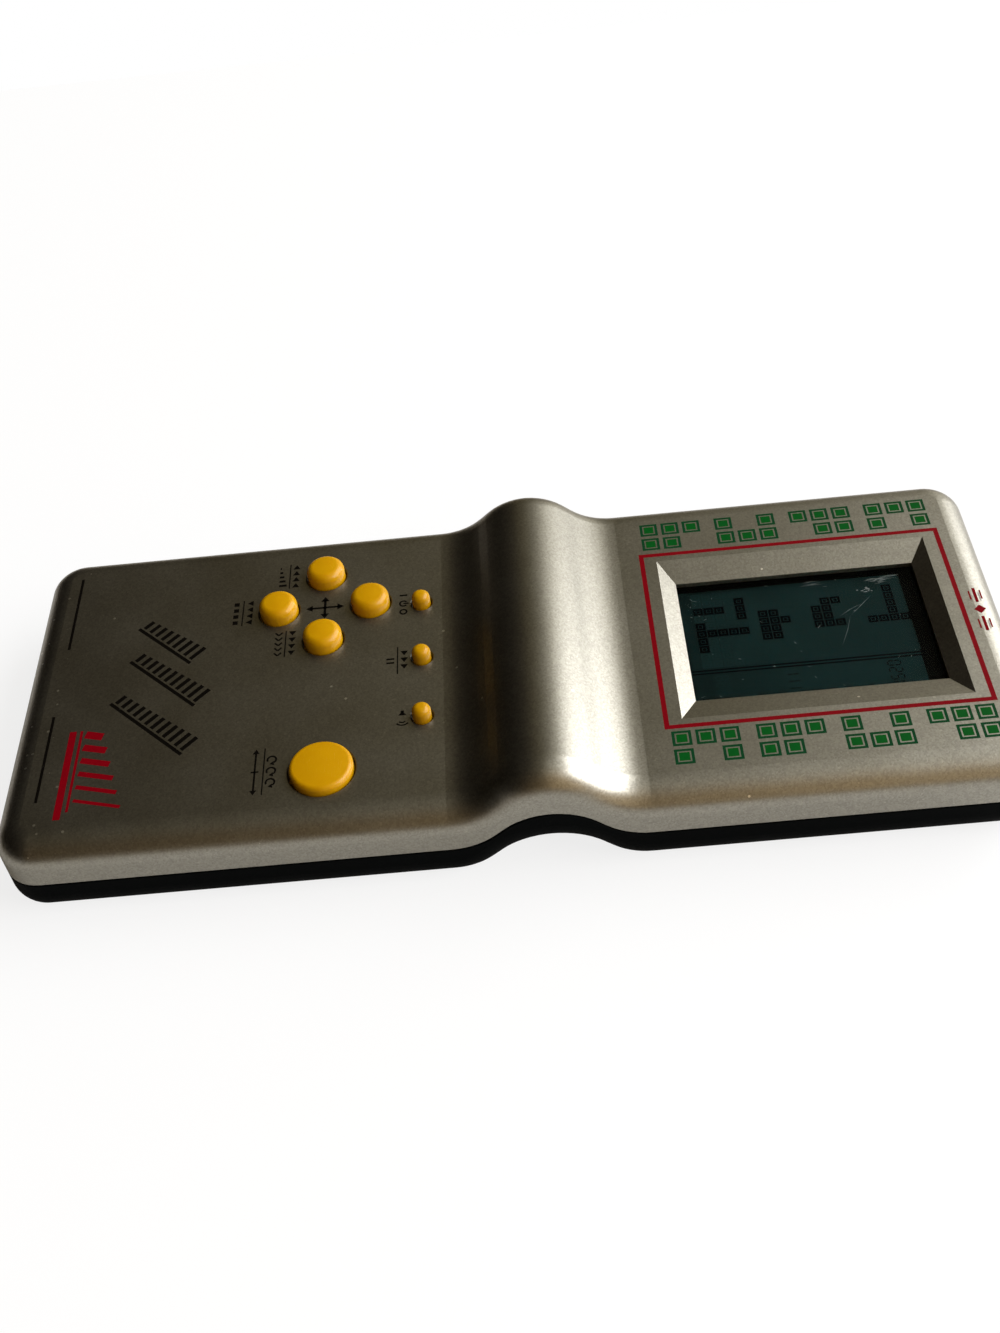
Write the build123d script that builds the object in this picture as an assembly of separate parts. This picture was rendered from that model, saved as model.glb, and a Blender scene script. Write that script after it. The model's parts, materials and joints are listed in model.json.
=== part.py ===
from build123d import *
import os
from math import cos, radians, sin, sqrt

# A handheld game console with a humped case, a small LCD and eight keys.
# Millimetres. X runs across the case, Y along it towards the screen, Z up out of the face.
# The origin is at the middle of the underside, which lies on the table.

# Battery cells and the bay that holds them
CELL_DIAMETER = 14.0
CELL_BODY_LENGTH = 49.5
CELL_NUB_LENGTH = 1.0
CELL_NUB_DIAMETER = 5.5
CELL_EDGE_RADIUS = 0.6
CELL_GAP = 0.1
CELL_SIDE_GAP = 0.2
SPRING_LENGTH = 6.3
SPRING_BASE_RADIUS = 4.4
SPRING_TIP_RADIUS = 2.6
SPRING_TURNS = 4
SPRING_WIRE = 0.7
CONTACT_PLATE = 0.5
CONTACT_WIDTH = 9.0
CONTACT_HEIGHT = 9.5
CONTACT_TAB_WIDTH = 2.4
CONTACT_TAB_REACH = 2.0
BAY_WALL = 1.2
BAY_ROOF = 0.7
BAY_SKIRT = 1.4
BAY_SKIRT_HEIGHT = 4.0
BAY_TO_SIDE = 9.0
BAY_TO_END = 7.0

# Battery door
DOOR_THICKNESS = 1.3
DOOR_GAP = 0.1
DOOR_LEDGE = 1.1
DOOR_TAB_WIDTH = 6.0
DOOR_TAB_THICKNESS = 0.9
DOOR_TAB_REACH = 1.3
DOOR_TAB_SPACING = 36.0
DOOR_TAB_ROOM = 0.5
DOOR_HINGE_IN = 0.3
DOOR_HINGE_UP = 0.1
DOOR_GRIP_WIDTH = 12.0
DOOR_GRIP_LENGTH = 1.0
DOOR_GRIP_DEPTH = 0.4
DOOR_GRIP_PITCH = 2.0
DOOR_GRIP_COUNT = 4
DOOR_GRIP_TO_EDGE = 3.0

# Case shells
WALL = 1.6
SHELL_GAP = 0.2
PARTING = 8.6
CORNER_RADIUS = 7.2
FACE_EDGE_RADIUS = 5.2
BACK_EDGE_RADIUS = 5.5
SEAM_BEVEL = 0.25
LIP_HEIGHT = 1.0
LIP_THICKNESS = 0.75
LIP_GAP = 0.1

# Hump over the finger arch
HUMP_RISE = 7.3
FLANK_ANGLE = 41.0
FLANK_LENGTH = 2.15

# Places along the case, each from the one before it
BOARD_TO_BAY = 0.5
BOARD_EDGE_TO_DIRECTION = 19.4
BOARD_EDGE_TO_ROTATE = 20.4
FUNCTION_TO_HUMP_FOOT = 3.95
HUMP_FOOT_TO_SCREEN = 32.7
SCREEN_TO_END = 35.94

# Window in the face, its lens and the display behind it
RECESS_WIDTH = 41.4
RECESS_LENGTH = 51.2
RECESS_DEPTH = 1.62
WINDOW_WIDTH = 30.7
WINDOW_LENGTH = 45.0
WINDOW_EDGE = 0.88
LENS_THICKNESS = 1.2
LENS_LAND = 2.65
LENS_GAP = 0.2
WINDOW_FRAME_WALL = 4.8
WINDOW_FRAME_END_WALL = 2.6
POLARISER_THICKNESS = 0.15
GLASS_THICKNESS = 0.9
REFLECTOR_THICKNESS = 0.2
DISPLAY_AIR = 0.3
DISPLAY_MARGIN = 3.5
DISPLAY_SIDE_MARGIN = 1.65
GLASS_LEDGE = 3.0
GLASS_GAP = 0.2
HOLDER_WALL = 2.0
HOLDER_LEDGE = 3.0
HOLDER_GAP = 0.1
ZEBRA_SIDE_GAP = 0.5
ZEBRA_GAP = 0.1

# Main board
BOARD_THICKNESS = 1.2
BOARD_TO_SIDE = 3.4
BOARD_TO_END = 5.0
BOARD_OVER_ARCH = 0.3
BOARD_CORNER_RADIUS = 2.0

# Screws and the posts they hold
CASE_POST_RADIUS = 3.3
CASE_POST_TO_SIDE = 5.8
CASE_POST_TO_END = 7.5
CASE_POST_TO_BOARD_EDGE = 7.0
CASE_POST_TO_SCREEN = 28.06
CASE_POST_GAP = 0.1
CASE_SCREW_RADIUS = 1.0
CASE_SCREW_HEAD_RADIUS = 2.05
CASE_SCREW_HEAD_HEIGHT = 1.5
CASE_SCREW_HEAD_DEPTH = 1.2
CASE_SCREW_BITE = 5.5
BOARD_POST_RADIUS = 2.1
BOARD_SCREW_RADIUS = 0.85
BOARD_SCREW_HEAD_RADIUS = 1.85
BOARD_SCREW_HEAD_HEIGHT = 1.1
BOARD_SCREW_BITE = 4.0
SCREW_HOLE_GAP = 0.25
SCREW_THREAD_GAP = 0.02
SCREW_SLOT_WIDTH = 0.55
SCREW_SLOT_DEPTH = 0.6
SCREW_SLOT_SHARE = 0.6
DISPLAY_SCREW_SHARE = 0.38
POST_NOTCH_GAP = 0.5

# Keys: radius of the cap, height over the face, and places
DIRECTION_RADIUS = 3.7
DIRECTION_HEIGHT = 3.0
DIRECTION_ARM = 8.9
DIRECTION_TO_SIDE = 21.75
ROTATE_RADIUS = 5.7
ROTATE_HEIGHT = 1.8
ROTATE_TO_SIDE = 12.85
FUNCTION_RADIUS = 1.75
FUNCTION_HEIGHT = 2.6
FUNCTION_PITCH = 14.8
FUNCTION_OFFSET = -0.35
KEY_CROWN = 0.35
KEY_EDGE_SHARE = 0.5
KEY_HOLE_GAP = 0.3
KEY_HOLE_BEVEL = 0.2
KEY_FLANGE_REACH = 1.1
KEY_FLANGE_THICKNESS = 1.0
KEY_FLANGE_GAP = 0.1
KEY_TRAVEL = 0.9
KEY_STEM_SHARE = 0.6

# Silicone key mats and their carbon pills
MAT_THICKNESS = 0.8
MAT_DOME_HEIGHT = 2.7
MAT_DOME_WALL = 0.6
MAT_MARGIN = 0.5
MAT_TO_MAT = 1.0
MAT_CORNER_RADIUS = 2.5
MAT_SHOULDER = 1.2
MAT_TO_STEM = 0.05
PILL_THICKNESS = 0.6

# Parts under the board
CHIP_RADIUS = 7.5
CHIP_HEIGHT = 1.8
RESISTOR_RADIUS = 0.95
RESISTOR_LENGTH = 4.2
RESISTOR_STANDOFF = 0.4
RESISTOR_SPACING = 4.5
RESISTOR_COUNT = 4
LEAD_RADIUS = 0.28
LEAD_BEND = 0.7
LEAD_REACH = 2.4
CERAMIC_RADIUS = 2.2
CERAMIC_THICKNESS = 1.4
CERAMIC_SPACING = 6.0
CERAMIC_COUNT = 3
TANK_RADIUS = 2.5
TANK_LENGTH = 9.0
TANK_LEAD_PITCH = 2.0

# Buzzer
BUZZER_RADIUS = 10.0
BUZZER_THICKNESS = 0.3
CERAMIC_DISC_RADIUS = 7.2
CERAMIC_DISC_THICKNESS = 0.25
BUZZER_CHAMBER = 0.8
BUZZER_LEDGE = 1.0
BUZZER_RING_WALL = 1.0
BUZZER_RING_HEIGHT = 1.6
BUZZER_GAP = 0.15
GRILLE_HOLE_RADIUS = 0.8
GRILLE_RING_RADIUS = 4.5
GRILLE_HOLES = 6

# Wires inside the case
WIRE_RADIUS = 0.55
WIRE_BEND = 1.0
WIRE_LANE = 1.6
WIRE_RUN_IN = 5.0
WIRE_TO_BOARD_EDGE = 1.6
BUZZER_LEAD_RUN = 12.0

# How far cutting shapes run past what they cut
OVERRUN = 1.0

# Sizes of the case, from what it holds
BAY_WIDTH = CELL_BODY_LENGTH + CELL_NUB_LENGTH + SPRING_LENGTH + 2 * CONTACT_PLATE + 2 * CELL_GAP
CELL_PITCH = CELL_DIAMETER + 2 * CELL_SIDE_GAP
BAY_LENGTH = 2 * CELL_PITCH
BODY_WIDTH = BAY_WIDTH + 2 * BAY_TO_SIDE
THICKNESS = DOOR_THICKNESS + CELL_DIAMETER + 2 * CELL_GAP + BAY_ROOF + SHELL_GAP + WALL
HUMP_RADIUS = (HUMP_RISE - FLANK_LENGTH * sin(radians(FLANK_ANGLE))) / (
    2 * (1 - cos(radians(FLANK_ANGLE)))
)
BOARD_EDGE_TO_FUNCTION = (
    BOARD_EDGE_TO_DIRECTION + DIRECTION_ARM + DIRECTION_RADIUS + FUNCTION_RADIUS
    + 2 * (MAT_SHOULDER + MAT_MARGIN) + MAT_TO_MAT
)
HUMP_HALF = 2 * HUMP_RADIUS * sin(radians(FLANK_ANGLE)) + FLANK_LENGTH * cos(radians(FLANK_ANGLE))
BODY_LENGTH = (
    BAY_TO_END + BAY_LENGTH + BAY_WALL + BOARD_TO_BAY + BOARD_EDGE_TO_FUNCTION
    + FUNCTION_TO_HUMP_FOOT + 2 * HUMP_HALF + HUMP_FOOT_TO_SCREEN + SCREEN_TO_END
)

# Places along Y
END_LOW = -BODY_LENGTH / 2
END_HIGH = BODY_LENGTH / 2
BAY_LOW = END_LOW + BAY_TO_END
BAY_HIGH = BAY_LOW + BAY_LENGTH
BAY_Y = (BAY_LOW + BAY_HIGH) / 2
BOARD_LOW = BAY_HIGH + BAY_WALL + BOARD_TO_BAY
BOARD_HIGH = END_HIGH - BOARD_TO_END
DIRECTION_Y = BOARD_LOW + BOARD_EDGE_TO_DIRECTION
ROTATE_Y = BOARD_LOW + BOARD_EDGE_TO_ROTATE
FUNCTION_Y = BOARD_LOW + BOARD_EDGE_TO_FUNCTION
HUMP_Y = FUNCTION_Y + FUNCTION_TO_HUMP_FOOT + HUMP_HALF
SCREEN_Y = HUMP_Y + HUMP_HALF + HUMP_FOOT_TO_SCREEN

# Places along X
DIRECTION_X = DIRECTION_TO_SIDE - BODY_WIDTH / 2
ROTATE_X = BODY_WIDTH / 2 - ROTATE_TO_SIDE
CASE_POST_X = BODY_WIDTH / 2 - CASE_POST_TO_SIDE
BOARD_HALF_WIDTH = BODY_WIDTH / 2 - BOARD_TO_SIDE

# Levels along Z
INNER_FACE = THICKNESS - WALL
BOARD_BOTTOM = HUMP_RISE + WALL + BOARD_OVER_ARCH
BOARD_TOP = BOARD_BOTTOM + BOARD_THICKNESS
MAT_TOP = BOARD_TOP + MAT_THICKNESS
DOME_TOP = MAT_TOP + MAT_DOME_HEIGHT
PILL_LEVEL = BOARD_TOP + KEY_TRAVEL
RECESS_FLOOR = THICKNESS - RECESS_DEPTH
LENS_TOP = RECESS_FLOOR - WINDOW_EDGE
LENS_BOTTOM = LENS_TOP - LENS_THICKNESS
POLARISER_TOP = LENS_BOTTOM - DISPLAY_AIR
FRONT_GLASS_TOP = POLARISER_TOP - POLARISER_THICKNESS
FRONT_GLASS_BOTTOM = FRONT_GLASS_TOP - GLASS_THICKNESS
REAR_GLASS_BOTTOM = FRONT_GLASS_BOTTOM - GLASS_THICKNESS
REFLECTOR_BOTTOM = REAR_GLASS_BOTTOM - REFLECTOR_THICKNESS
CELL_Z = DOOR_THICKNESS + CELL_GAP + CELL_DIAMETER / 2
BAY_CEILING = CELL_Z + CELL_DIAMETER / 2 + CELL_GAP

# Plan sizes of the display and its lens
LENS_WIDTH = WINDOW_WIDTH + 2 * LENS_LAND
LENS_LENGTH = WINDOW_LENGTH + 2 * LENS_LAND
GLASS_LENGTH = WINDOW_LENGTH + 2 * DISPLAY_MARGIN
REAR_GLASS_WIDTH = WINDOW_WIDTH + 2 * DISPLAY_SIDE_MARGIN
GLASS_WIDTH = REAR_GLASS_WIDTH + 2 * GLASS_LEDGE
ZEBRA_WIDTH = GLASS_LEDGE - 2 * ZEBRA_SIDE_GAP
FRAME_WIDTH = LENS_WIDTH + 2 * (LENS_GAP + WINDOW_FRAME_WALL)
FRAME_LENGTH = LENS_LENGTH + 2 * (LENS_GAP + WINDOW_FRAME_END_WALL)

# The keys: name, place, radius and height over the face
DIRECTION_KEYS = [
    ("left_button", DIRECTION_X - DIRECTION_ARM, DIRECTION_Y),
    ("right_button", DIRECTION_X + DIRECTION_ARM, DIRECTION_Y),
    ("down_button", DIRECTION_X, DIRECTION_Y - DIRECTION_ARM),
    ("up_button", DIRECTION_X, DIRECTION_Y + DIRECTION_ARM),
]
FUNCTION_KEYS = [
    ("on_off_button", FUNCTION_OFFSET - FUNCTION_PITCH, FUNCTION_Y),
    ("start_button", FUNCTION_OFFSET, FUNCTION_Y),
    ("sound_button", FUNCTION_OFFSET + FUNCTION_PITCH, FUNCTION_Y),
]
ROTATE_KEYS = [("rotate_button", ROTATE_X, ROTATE_Y)]
KEY_GROUPS = [
    ("direction_mat", DIRECTION_KEYS, DIRECTION_RADIUS, DIRECTION_HEIGHT),
    ("function_mat", FUNCTION_KEYS, FUNCTION_RADIUS, FUNCTION_HEIGHT),
    ("rotate_mat", ROTATE_KEYS, ROTATE_RADIUS, ROTATE_HEIGHT),
]

# Case screws in pairs along the case, and board screws round the keys and the display
CASE_SCREW_ROWS = [
    BOARD_LOW + CASE_POST_TO_BOARD_EDGE,
    SCREEN_Y - CASE_POST_TO_SCREEN,
    END_HIGH - CASE_POST_TO_END,
]
CASE_SCREW_PLACES = [(side * CASE_POST_X, row) for row in CASE_SCREW_ROWS for side in (-1, 1)]
HOLDER_WIDTH = GLASS_WIDTH + 2 * (GLASS_GAP + HOLDER_WALL)
HOLDER_LENGTH = GLASS_LENGTH + 2 * (GLASS_GAP + HOLDER_WALL)
BOARD_POST_X = HOLDER_WIDTH / 2 + BOARD_POST_RADIUS + POST_NOTCH_GAP
KEY_SCREW_X = (DIRECTION_X + DIRECTION_ARM + ROTATE_X - ROTATE_RADIUS) / 2
BOARD_SCREW_PLACES = [
    (side * BOARD_POST_X, SCREEN_Y + end * DISPLAY_SCREW_SHARE * GLASS_LENGTH)
    for end in (-1, 1)
    for side in (-1, 1)
] + [
    (KEY_SCREW_X, DIRECTION_Y - DIRECTION_ARM),
    (KEY_SCREW_X, DIRECTION_Y + DIRECTION_ARM),
    (-BOARD_POST_X, FUNCTION_Y),
    (BOARD_POST_X, FUNCTION_Y),
]

# The buzzer lies under the direction keys
BUZZER_X = DIRECTION_X
BUZZER_Y = DIRECTION_Y


def box_between(x_low, x_high, y_low, y_high, z_low, z_high):
    """A block between two corners."""
    centre = Pos((x_low + x_high) / 2, (y_low + y_high) / 2, (z_low + z_high) / 2)
    return centre * Box(x_high - x_low, y_high - y_low, z_high - z_low)


def centred_box(width, length, y_middle, z_low, z_high):
    """A block centred across the case."""
    return box_between(
        -width / 2, width / 2, y_middle - length / 2, y_middle + length / 2, z_low, z_high
    )


def post(x, y, radius, z_low, z_high):
    """An upright cylinder between two levels."""
    return Pos(x, y, (z_low + z_high) / 2) * Cylinder(radius, z_high - z_low)


def wave_edges(level, inset):
    """The humped side profile: flat, hump, flat. The inset moves it down, square to itself."""
    swing = radians(FLANK_ANGLE)
    crest_radius = HUMP_RADIUS - inset
    foot_radius = HUMP_RADIUS + inset
    crest_z = level + HUMP_RISE - HUMP_RADIUS
    foot_z = level + HUMP_RADIUS
    foot_low = HUMP_Y - HUMP_HALF
    foot_high = HUMP_Y + HUMP_HALF

    def crest(turn):
        return (0, HUMP_Y + crest_radius * sin(turn), crest_z + crest_radius * cos(turn))

    def foot(y, turn):
        return (0, y + foot_radius * sin(turn), foot_z - foot_radius * cos(turn))

    start = (0, END_LOW - OVERRUN, level - inset)
    finish = (0, END_HIGH + OVERRUN, level - inset)
    return [
        Line(start, foot(foot_low, 0)),
        ThreePointArc(foot(foot_low, 0), foot(foot_low, swing / 2), foot(foot_low, swing)),
        Line(foot(foot_low, swing), crest(-swing)),
        ThreePointArc(crest(-swing), crest(0), crest(swing)),
        Line(crest(swing), foot(foot_high, -swing)),
        ThreePointArc(foot(foot_high, -swing), foot(foot_high, -swing / 2), foot(foot_high, 0)),
        Line(foot(foot_high, 0), finish),
    ]


def wave_block(side_inset, low, low_inset, high, high_inset):
    """The case's plan outline, cut to the space between two humped profiles."""
    outline = RectangleRounded(
        BODY_WIDTH - 2 * side_inset, BODY_LENGTH - 2 * side_inset, CORNER_RADIUS - side_inset
    )
    tall = THICKNESS + HUMP_RISE
    prism = extrude(Pos(0, 0, -tall) * outline, amount=3 * tall)
    lower = wave_edges(low, low_inset)
    upper = wave_edges(high, high_inset)
    ends = [Line(lower[0] @ 0, upper[0] @ 0), Line(lower[-1] @ 1, upper[-1] @ 1)]
    band = extrude(make_face(lower + upper + ends), amount=BODY_WIDTH, both=True)
    return (prism & band).solid()


def rim(solid, up):
    """The outline edges of the faces that look up, or down where up is -1."""
    faces = [face for face in solid.faces() if up * face.normal_at().Z > 0.5]
    edges = [edge for face in faces for edge in face.edges()]
    return [edge for edge in edges if sum(edge.is_same(other) for other in edges) == 1]


def front_outside():
    """The silver half, solid: rounded along its face, with a small bevel at the seam."""
    block = wave_block(0, PARTING, 0, THICKNESS, 0)
    block = fillet(rim(block, 1), FACE_EDGE_RADIUS)
    return chamfer(rim(block, -1), SEAM_BEVEL)


def front_inside():
    """The hollow of the silver half."""
    block = wave_block(WALL, PARTING, OVERRUN, THICKNESS, WALL)
    return fillet(rim(block, 1), FACE_EDGE_RADIUS - WALL)


def rear_outside():
    """The black half, solid: rounded along its underside, with a small bevel at the seam."""
    block = wave_block(0, 0, 0, PARTING, 0)
    block = fillet(rim(block, -1), BACK_EDGE_RADIUS)
    return chamfer(rim(block, 1), SEAM_BEVEL)


def rear_inside():
    """The hollow of the black half."""
    block = wave_block(WALL, 0, -WALL, PARTING, -OVERRUN)
    return fillet(rim(block, -1), BACK_EDGE_RADIUS - WALL)


def bevelled_hole(x, y, radius):
    """A key's hole through the face, with a small bevel at its mouth."""
    hole = post(x, y, radius, INNER_FACE - OVERRUN, THICKNESS + OVERRUN)
    mouth = Pos(x, y, THICKNESS - KEY_HOLE_BEVEL / 2) * Cone(
        radius, radius + KEY_HOLE_BEVEL, KEY_HOLE_BEVEL
    )
    return hole + mouth


def window_cut():
    """The bevelled recess, the window through its floor and the seat of the lens."""
    mouth = Pos(0, SCREEN_Y, THICKNESS) * Rectangle(RECESS_WIDTH, RECESS_LENGTH)
    floor = Pos(0, SCREEN_Y, RECESS_FLOOR) * Rectangle(WINDOW_WIDTH, WINDOW_LENGTH)
    bevels = loft([floor, mouth], ruled=True)
    above = centred_box(RECESS_WIDTH, RECESS_LENGTH, SCREEN_Y, THICKNESS, THICKNESS + OVERRUN)
    opening = centred_box(
        WINDOW_WIDTH, WINDOW_LENGTH, SCREEN_Y, LENS_BOTTOM - OVERRUN, RECESS_FLOOR
    )
    seat = centred_box(
        LENS_WIDTH + 2 * LENS_GAP, LENS_LENGTH + 2 * LENS_GAP, SCREEN_Y,
        LENS_BOTTOM - OVERRUN, LENS_TOP,
    )
    return [bevels, above, opening, seat]


def front_cover():
    """The silver half of the case, with its window frame, posts and key holes."""
    outside = front_outside()
    cover = outside - front_inside()
    lip = wave_block(WALL - LIP_THICKNESS, PARTING - LIP_HEIGHT, 0, PARTING + SEAM_BEVEL, 0)
    lip -= wave_block(WALL, PARTING - LIP_HEIGHT - OVERRUN, 0, PARTING + OVERRUN, 0)
    cover += lip
    cover += centred_box(
        FRAME_WIDTH, FRAME_LENGTH, SCREEN_Y, LENS_BOTTOM, INNER_FACE + WALL / 2
    )
    for x, y in CASE_SCREW_PLACES:
        whole = post(x, y, CASE_POST_RADIUS, PARTING + CASE_POST_GAP / 2, THICKNESS)
        cover += whole & outside
    for x, y in BOARD_SCREW_PLACES:
        cover += post(x, y, BOARD_POST_RADIUS, BOARD_TOP, INNER_FACE + WALL / 2)
    for x, y in CASE_SCREW_PLACES:
        pilot_top = PARTING + CASE_SCREW_BITE + OVERRUN
        cover -= post(x, y, CASE_SCREW_RADIUS + SCREW_THREAD_GAP, PARTING, pilot_top)
    for x, y in BOARD_SCREW_PLACES:
        pilot_top = BOARD_TOP + BOARD_SCREW_BITE + SCREW_HOLE_GAP
        cover -= post(x, y, BOARD_SCREW_RADIUS + SCREW_THREAD_GAP, BOARD_BOTTOM, pilot_top)
    for shape in window_cut():
        cover -= shape
    for _, keys, radius, _ in KEY_GROUPS:
        for _, x, y in keys:
            cover -= bevelled_hole(x, y, radius + KEY_HOLE_GAP)
    return cover


def door_recess():
    """The shallow step that the battery door lies in."""
    return centred_box(
        BAY_WIDTH + 2 * DOOR_LEDGE, BAY_LENGTH + 2 * DOOR_LEDGE, BAY_Y,
        -OVERRUN, DOOR_THICKNESS + DOOR_GAP,
    )


def door_tab_places():
    """Where the door's two tabs stand across the case."""
    return [-DOOR_TAB_SPACING / 2, DOOR_TAB_SPACING / 2]


def bay_solids():
    """The battery bay's walls and roof, and the thicker skirt at their foot."""
    outer = 2 * BAY_WALL
    skirt = outer + 2 * BAY_SKIRT
    walls = centred_box(
        BAY_WIDTH + outer, BAY_LENGTH + outer, BAY_Y, WALL / 2, BAY_CEILING + BAY_ROOF
    )
    foot = centred_box(
        BAY_WIDTH + skirt, BAY_LENGTH + skirt, BAY_Y, WALL / 2, BAY_SKIRT_HEIGHT
    )
    return walls + foot


def bay_cuts():
    """The hollow for the cells, the door's step, its tab slots and the contact slots."""
    hollow = centred_box(BAY_WIDTH, BAY_LENGTH, BAY_Y, -OVERRUN, BAY_CEILING)
    cuts = [hollow, door_recess()]
    door_low = BAY_LOW - DOOR_LEDGE
    slot_top = DOOR_THICKNESS + DOOR_TAB_REACH + DOOR_TAB_THICKNESS + 2 * DOOR_TAB_ROOM
    for x in door_tab_places():
        half = DOOR_TAB_WIDTH / 2 + DOOR_TAB_ROOM / 2
        reach = door_low - DOOR_TAB_REACH - DOOR_TAB_ROOM
        cuts.append(box_between(x - half, x + half, reach, BAY_LOW, WALL, slot_top))
        cuts.append(box_between(x - half, x + half, door_low, BAY_LOW, 0, slot_top))
    for y in cell_rows():
        half = CONTACT_TAB_WIDTH / 2 + CELL_GAP
        tab = CONTACT_PLATE / 2 + CELL_GAP
        cuts.append(
            box_between(
                BAY_WIDTH / 2 - OVERRUN, BAY_WIDTH / 2 + BAY_WALL + OVERRUN,
                y - half, y + half, CELL_Z - tab, CELL_Z + tab,
            )
        )
    return cuts


def cell_rows():
    """The Y places of the two cells."""
    return [BAY_LOW + CELL_PITCH / 2, BAY_HIGH - CELL_PITCH / 2]


def rear_cover(outside):
    """The black half of the case, with the battery bay, screw posts and buzzer seat."""
    cover = outside - rear_inside()
    cover -= wave_block(
        WALL - LIP_THICKNESS - LIP_GAP, PARTING - LIP_HEIGHT - LIP_GAP, 0, PARTING + OVERRUN, 0
    )
    cover += bay_solids()
    for x, y in CASE_SCREW_PLACES:
        cover += post(x, y, CASE_POST_RADIUS, 0, PARTING - CASE_POST_GAP / 2) & outside
    for x, y in CASE_SCREW_PLACES:
        seat = CASE_SCREW_HEAD_DEPTH + CASE_SCREW_HEAD_HEIGHT
        cover -= post(x, y, CASE_SCREW_HEAD_RADIUS + SCREW_HOLE_GAP, -OVERRUN, seat)
        cover -= post(x, y, CASE_SCREW_RADIUS + SCREW_HOLE_GAP, 0, PARTING + OVERRUN)
    ring_radius = BUZZER_RADIUS + BUZZER_GAP
    ledge_top = WALL + BUZZER_CHAMBER
    cover += post(
        BUZZER_X, BUZZER_Y, ring_radius + BUZZER_RING_WALL, WALL / 2, WALL + BUZZER_RING_HEIGHT
    )
    cover -= post(BUZZER_X, BUZZER_Y, ring_radius, ledge_top, PARTING)
    cover -= post(BUZZER_X, BUZZER_Y, ring_radius - BUZZER_LEDGE, WALL, PARTING)
    cover -= post(BUZZER_X, BUZZER_Y, GRILLE_HOLE_RADIUS, -OVERRUN, ledge_top)
    for place in PolarLocations(GRILLE_RING_RADIUS, GRILLE_HOLES):
        x = BUZZER_X + place.position.X
        y = BUZZER_Y + place.position.Y
        cover -= post(x, y, GRILLE_HOLE_RADIUS, -OVERRUN, ledge_top)
    for cut in bay_cuts():
        cover -= cut
    return cover


def battery_door(outside):
    """The door under the cells, with two tabs at one edge and grip grooves at the other."""
    width = BAY_WIDTH + 2 * (DOOR_LEDGE - DOOR_GAP)
    length = BAY_LENGTH + 2 * (DOOR_LEDGE - DOOR_GAP)
    door = centred_box(width, length, BAY_Y, 0, DOOR_THICKNESS)
    edge = BAY_Y - length / 2
    tongue_low = WALL + DOOR_GAP
    tongue_high = tongue_low + DOOR_TAB_THICKNESS
    root = edge + DOOR_LEDGE
    for x in door_tab_places():
        low = x - DOOR_TAB_WIDTH / 2
        high = x + DOOR_TAB_WIDTH / 2
        door += box_between(low, high, edge, root, DOOR_THICKNESS / 2, tongue_high)
        door += box_between(low, high, edge - DOOR_TAB_REACH, root, tongue_low, tongue_high)
    for index in range(DOOR_GRIP_COUNT):
        y = BAY_Y + length / 2 - DOOR_GRIP_TO_EDGE - index * DOOR_GRIP_PITCH
        door -= centred_box(DOOR_GRIP_WIDTH, DOOR_GRIP_LENGTH, y, -OVERRUN, DOOR_GRIP_DEPTH)
    return door & outside


def key(x, y, radius, height):
    """A key: domed cap, flange under the face and a stem down to its silicone dome."""
    top = THICKNESS + height
    flange_top = INNER_FACE - KEY_FLANGE_GAP
    flange_bottom = flange_top - KEY_FLANGE_THICKNESS
    stem_bottom = DOME_TOP + MAT_TO_STEM
    stem_radius = radius * KEY_STEM_SHARE
    flange_radius = radius + KEY_FLANGE_REACH
    shoulder = top - KEY_CROWN
    crown_radius = (radius**2 + KEY_CROWN**2) / (2 * KEY_CROWN)
    middle_x = radius / 2
    middle_z = top - crown_radius + sqrt(crown_radius**2 - middle_x**2)
    outline = [
        Line((0, stem_bottom), (stem_radius, stem_bottom)),
        Line((stem_radius, stem_bottom), (stem_radius, flange_bottom)),
        Line((stem_radius, flange_bottom), (flange_radius, flange_bottom)),
        Line((flange_radius, flange_bottom), (flange_radius, flange_top)),
        Line((flange_radius, flange_top), (radius, flange_top)),
        Line((radius, flange_top), (radius, shoulder)),
        ThreePointArc((radius, shoulder), (middle_x, middle_z), (0, top)),
        Line((0, top), (0, stem_bottom)),
    ]
    section = make_face(outline)
    corner = section.vertices().sort_by_distance((radius, shoulder))[0]
    section = fillet(corner, height * KEY_EDGE_SHARE)
    turned = revolve(Plane.XZ * section, Axis.Z)
    return Pos(x, y, 0) * turned


def dome(x, y, radius):
    """A silicone dome over one key contact, with the air room under it."""
    shoulder = radius + MAT_SHOULDER
    plug = radius * KEY_STEM_SHARE
    pill_top = PILL_LEVEL + PILL_THICKNESS
    web_top = pill_top + MAT_DOME_WALL
    outside = make_face(
        Polyline(
            (0, BOARD_TOP), (shoulder, BOARD_TOP), (shoulder, MAT_TOP), (plug, web_top),
            (plug, DOME_TOP), (0, DOME_TOP), close=True,
        )
    )
    room = make_face(
        Polyline(
            (0, BOARD_TOP), (shoulder - MAT_DOME_WALL, BOARD_TOP), (plug, pill_top),
            (0, pill_top), close=True,
        )
    )
    solid = revolve(Plane.XZ * outside, Axis.Z)
    hollow = revolve(Plane.XZ * room, Axis.Z)
    return Pos(x, y, 0) * solid, Pos(x, y, 0) * hollow


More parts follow.
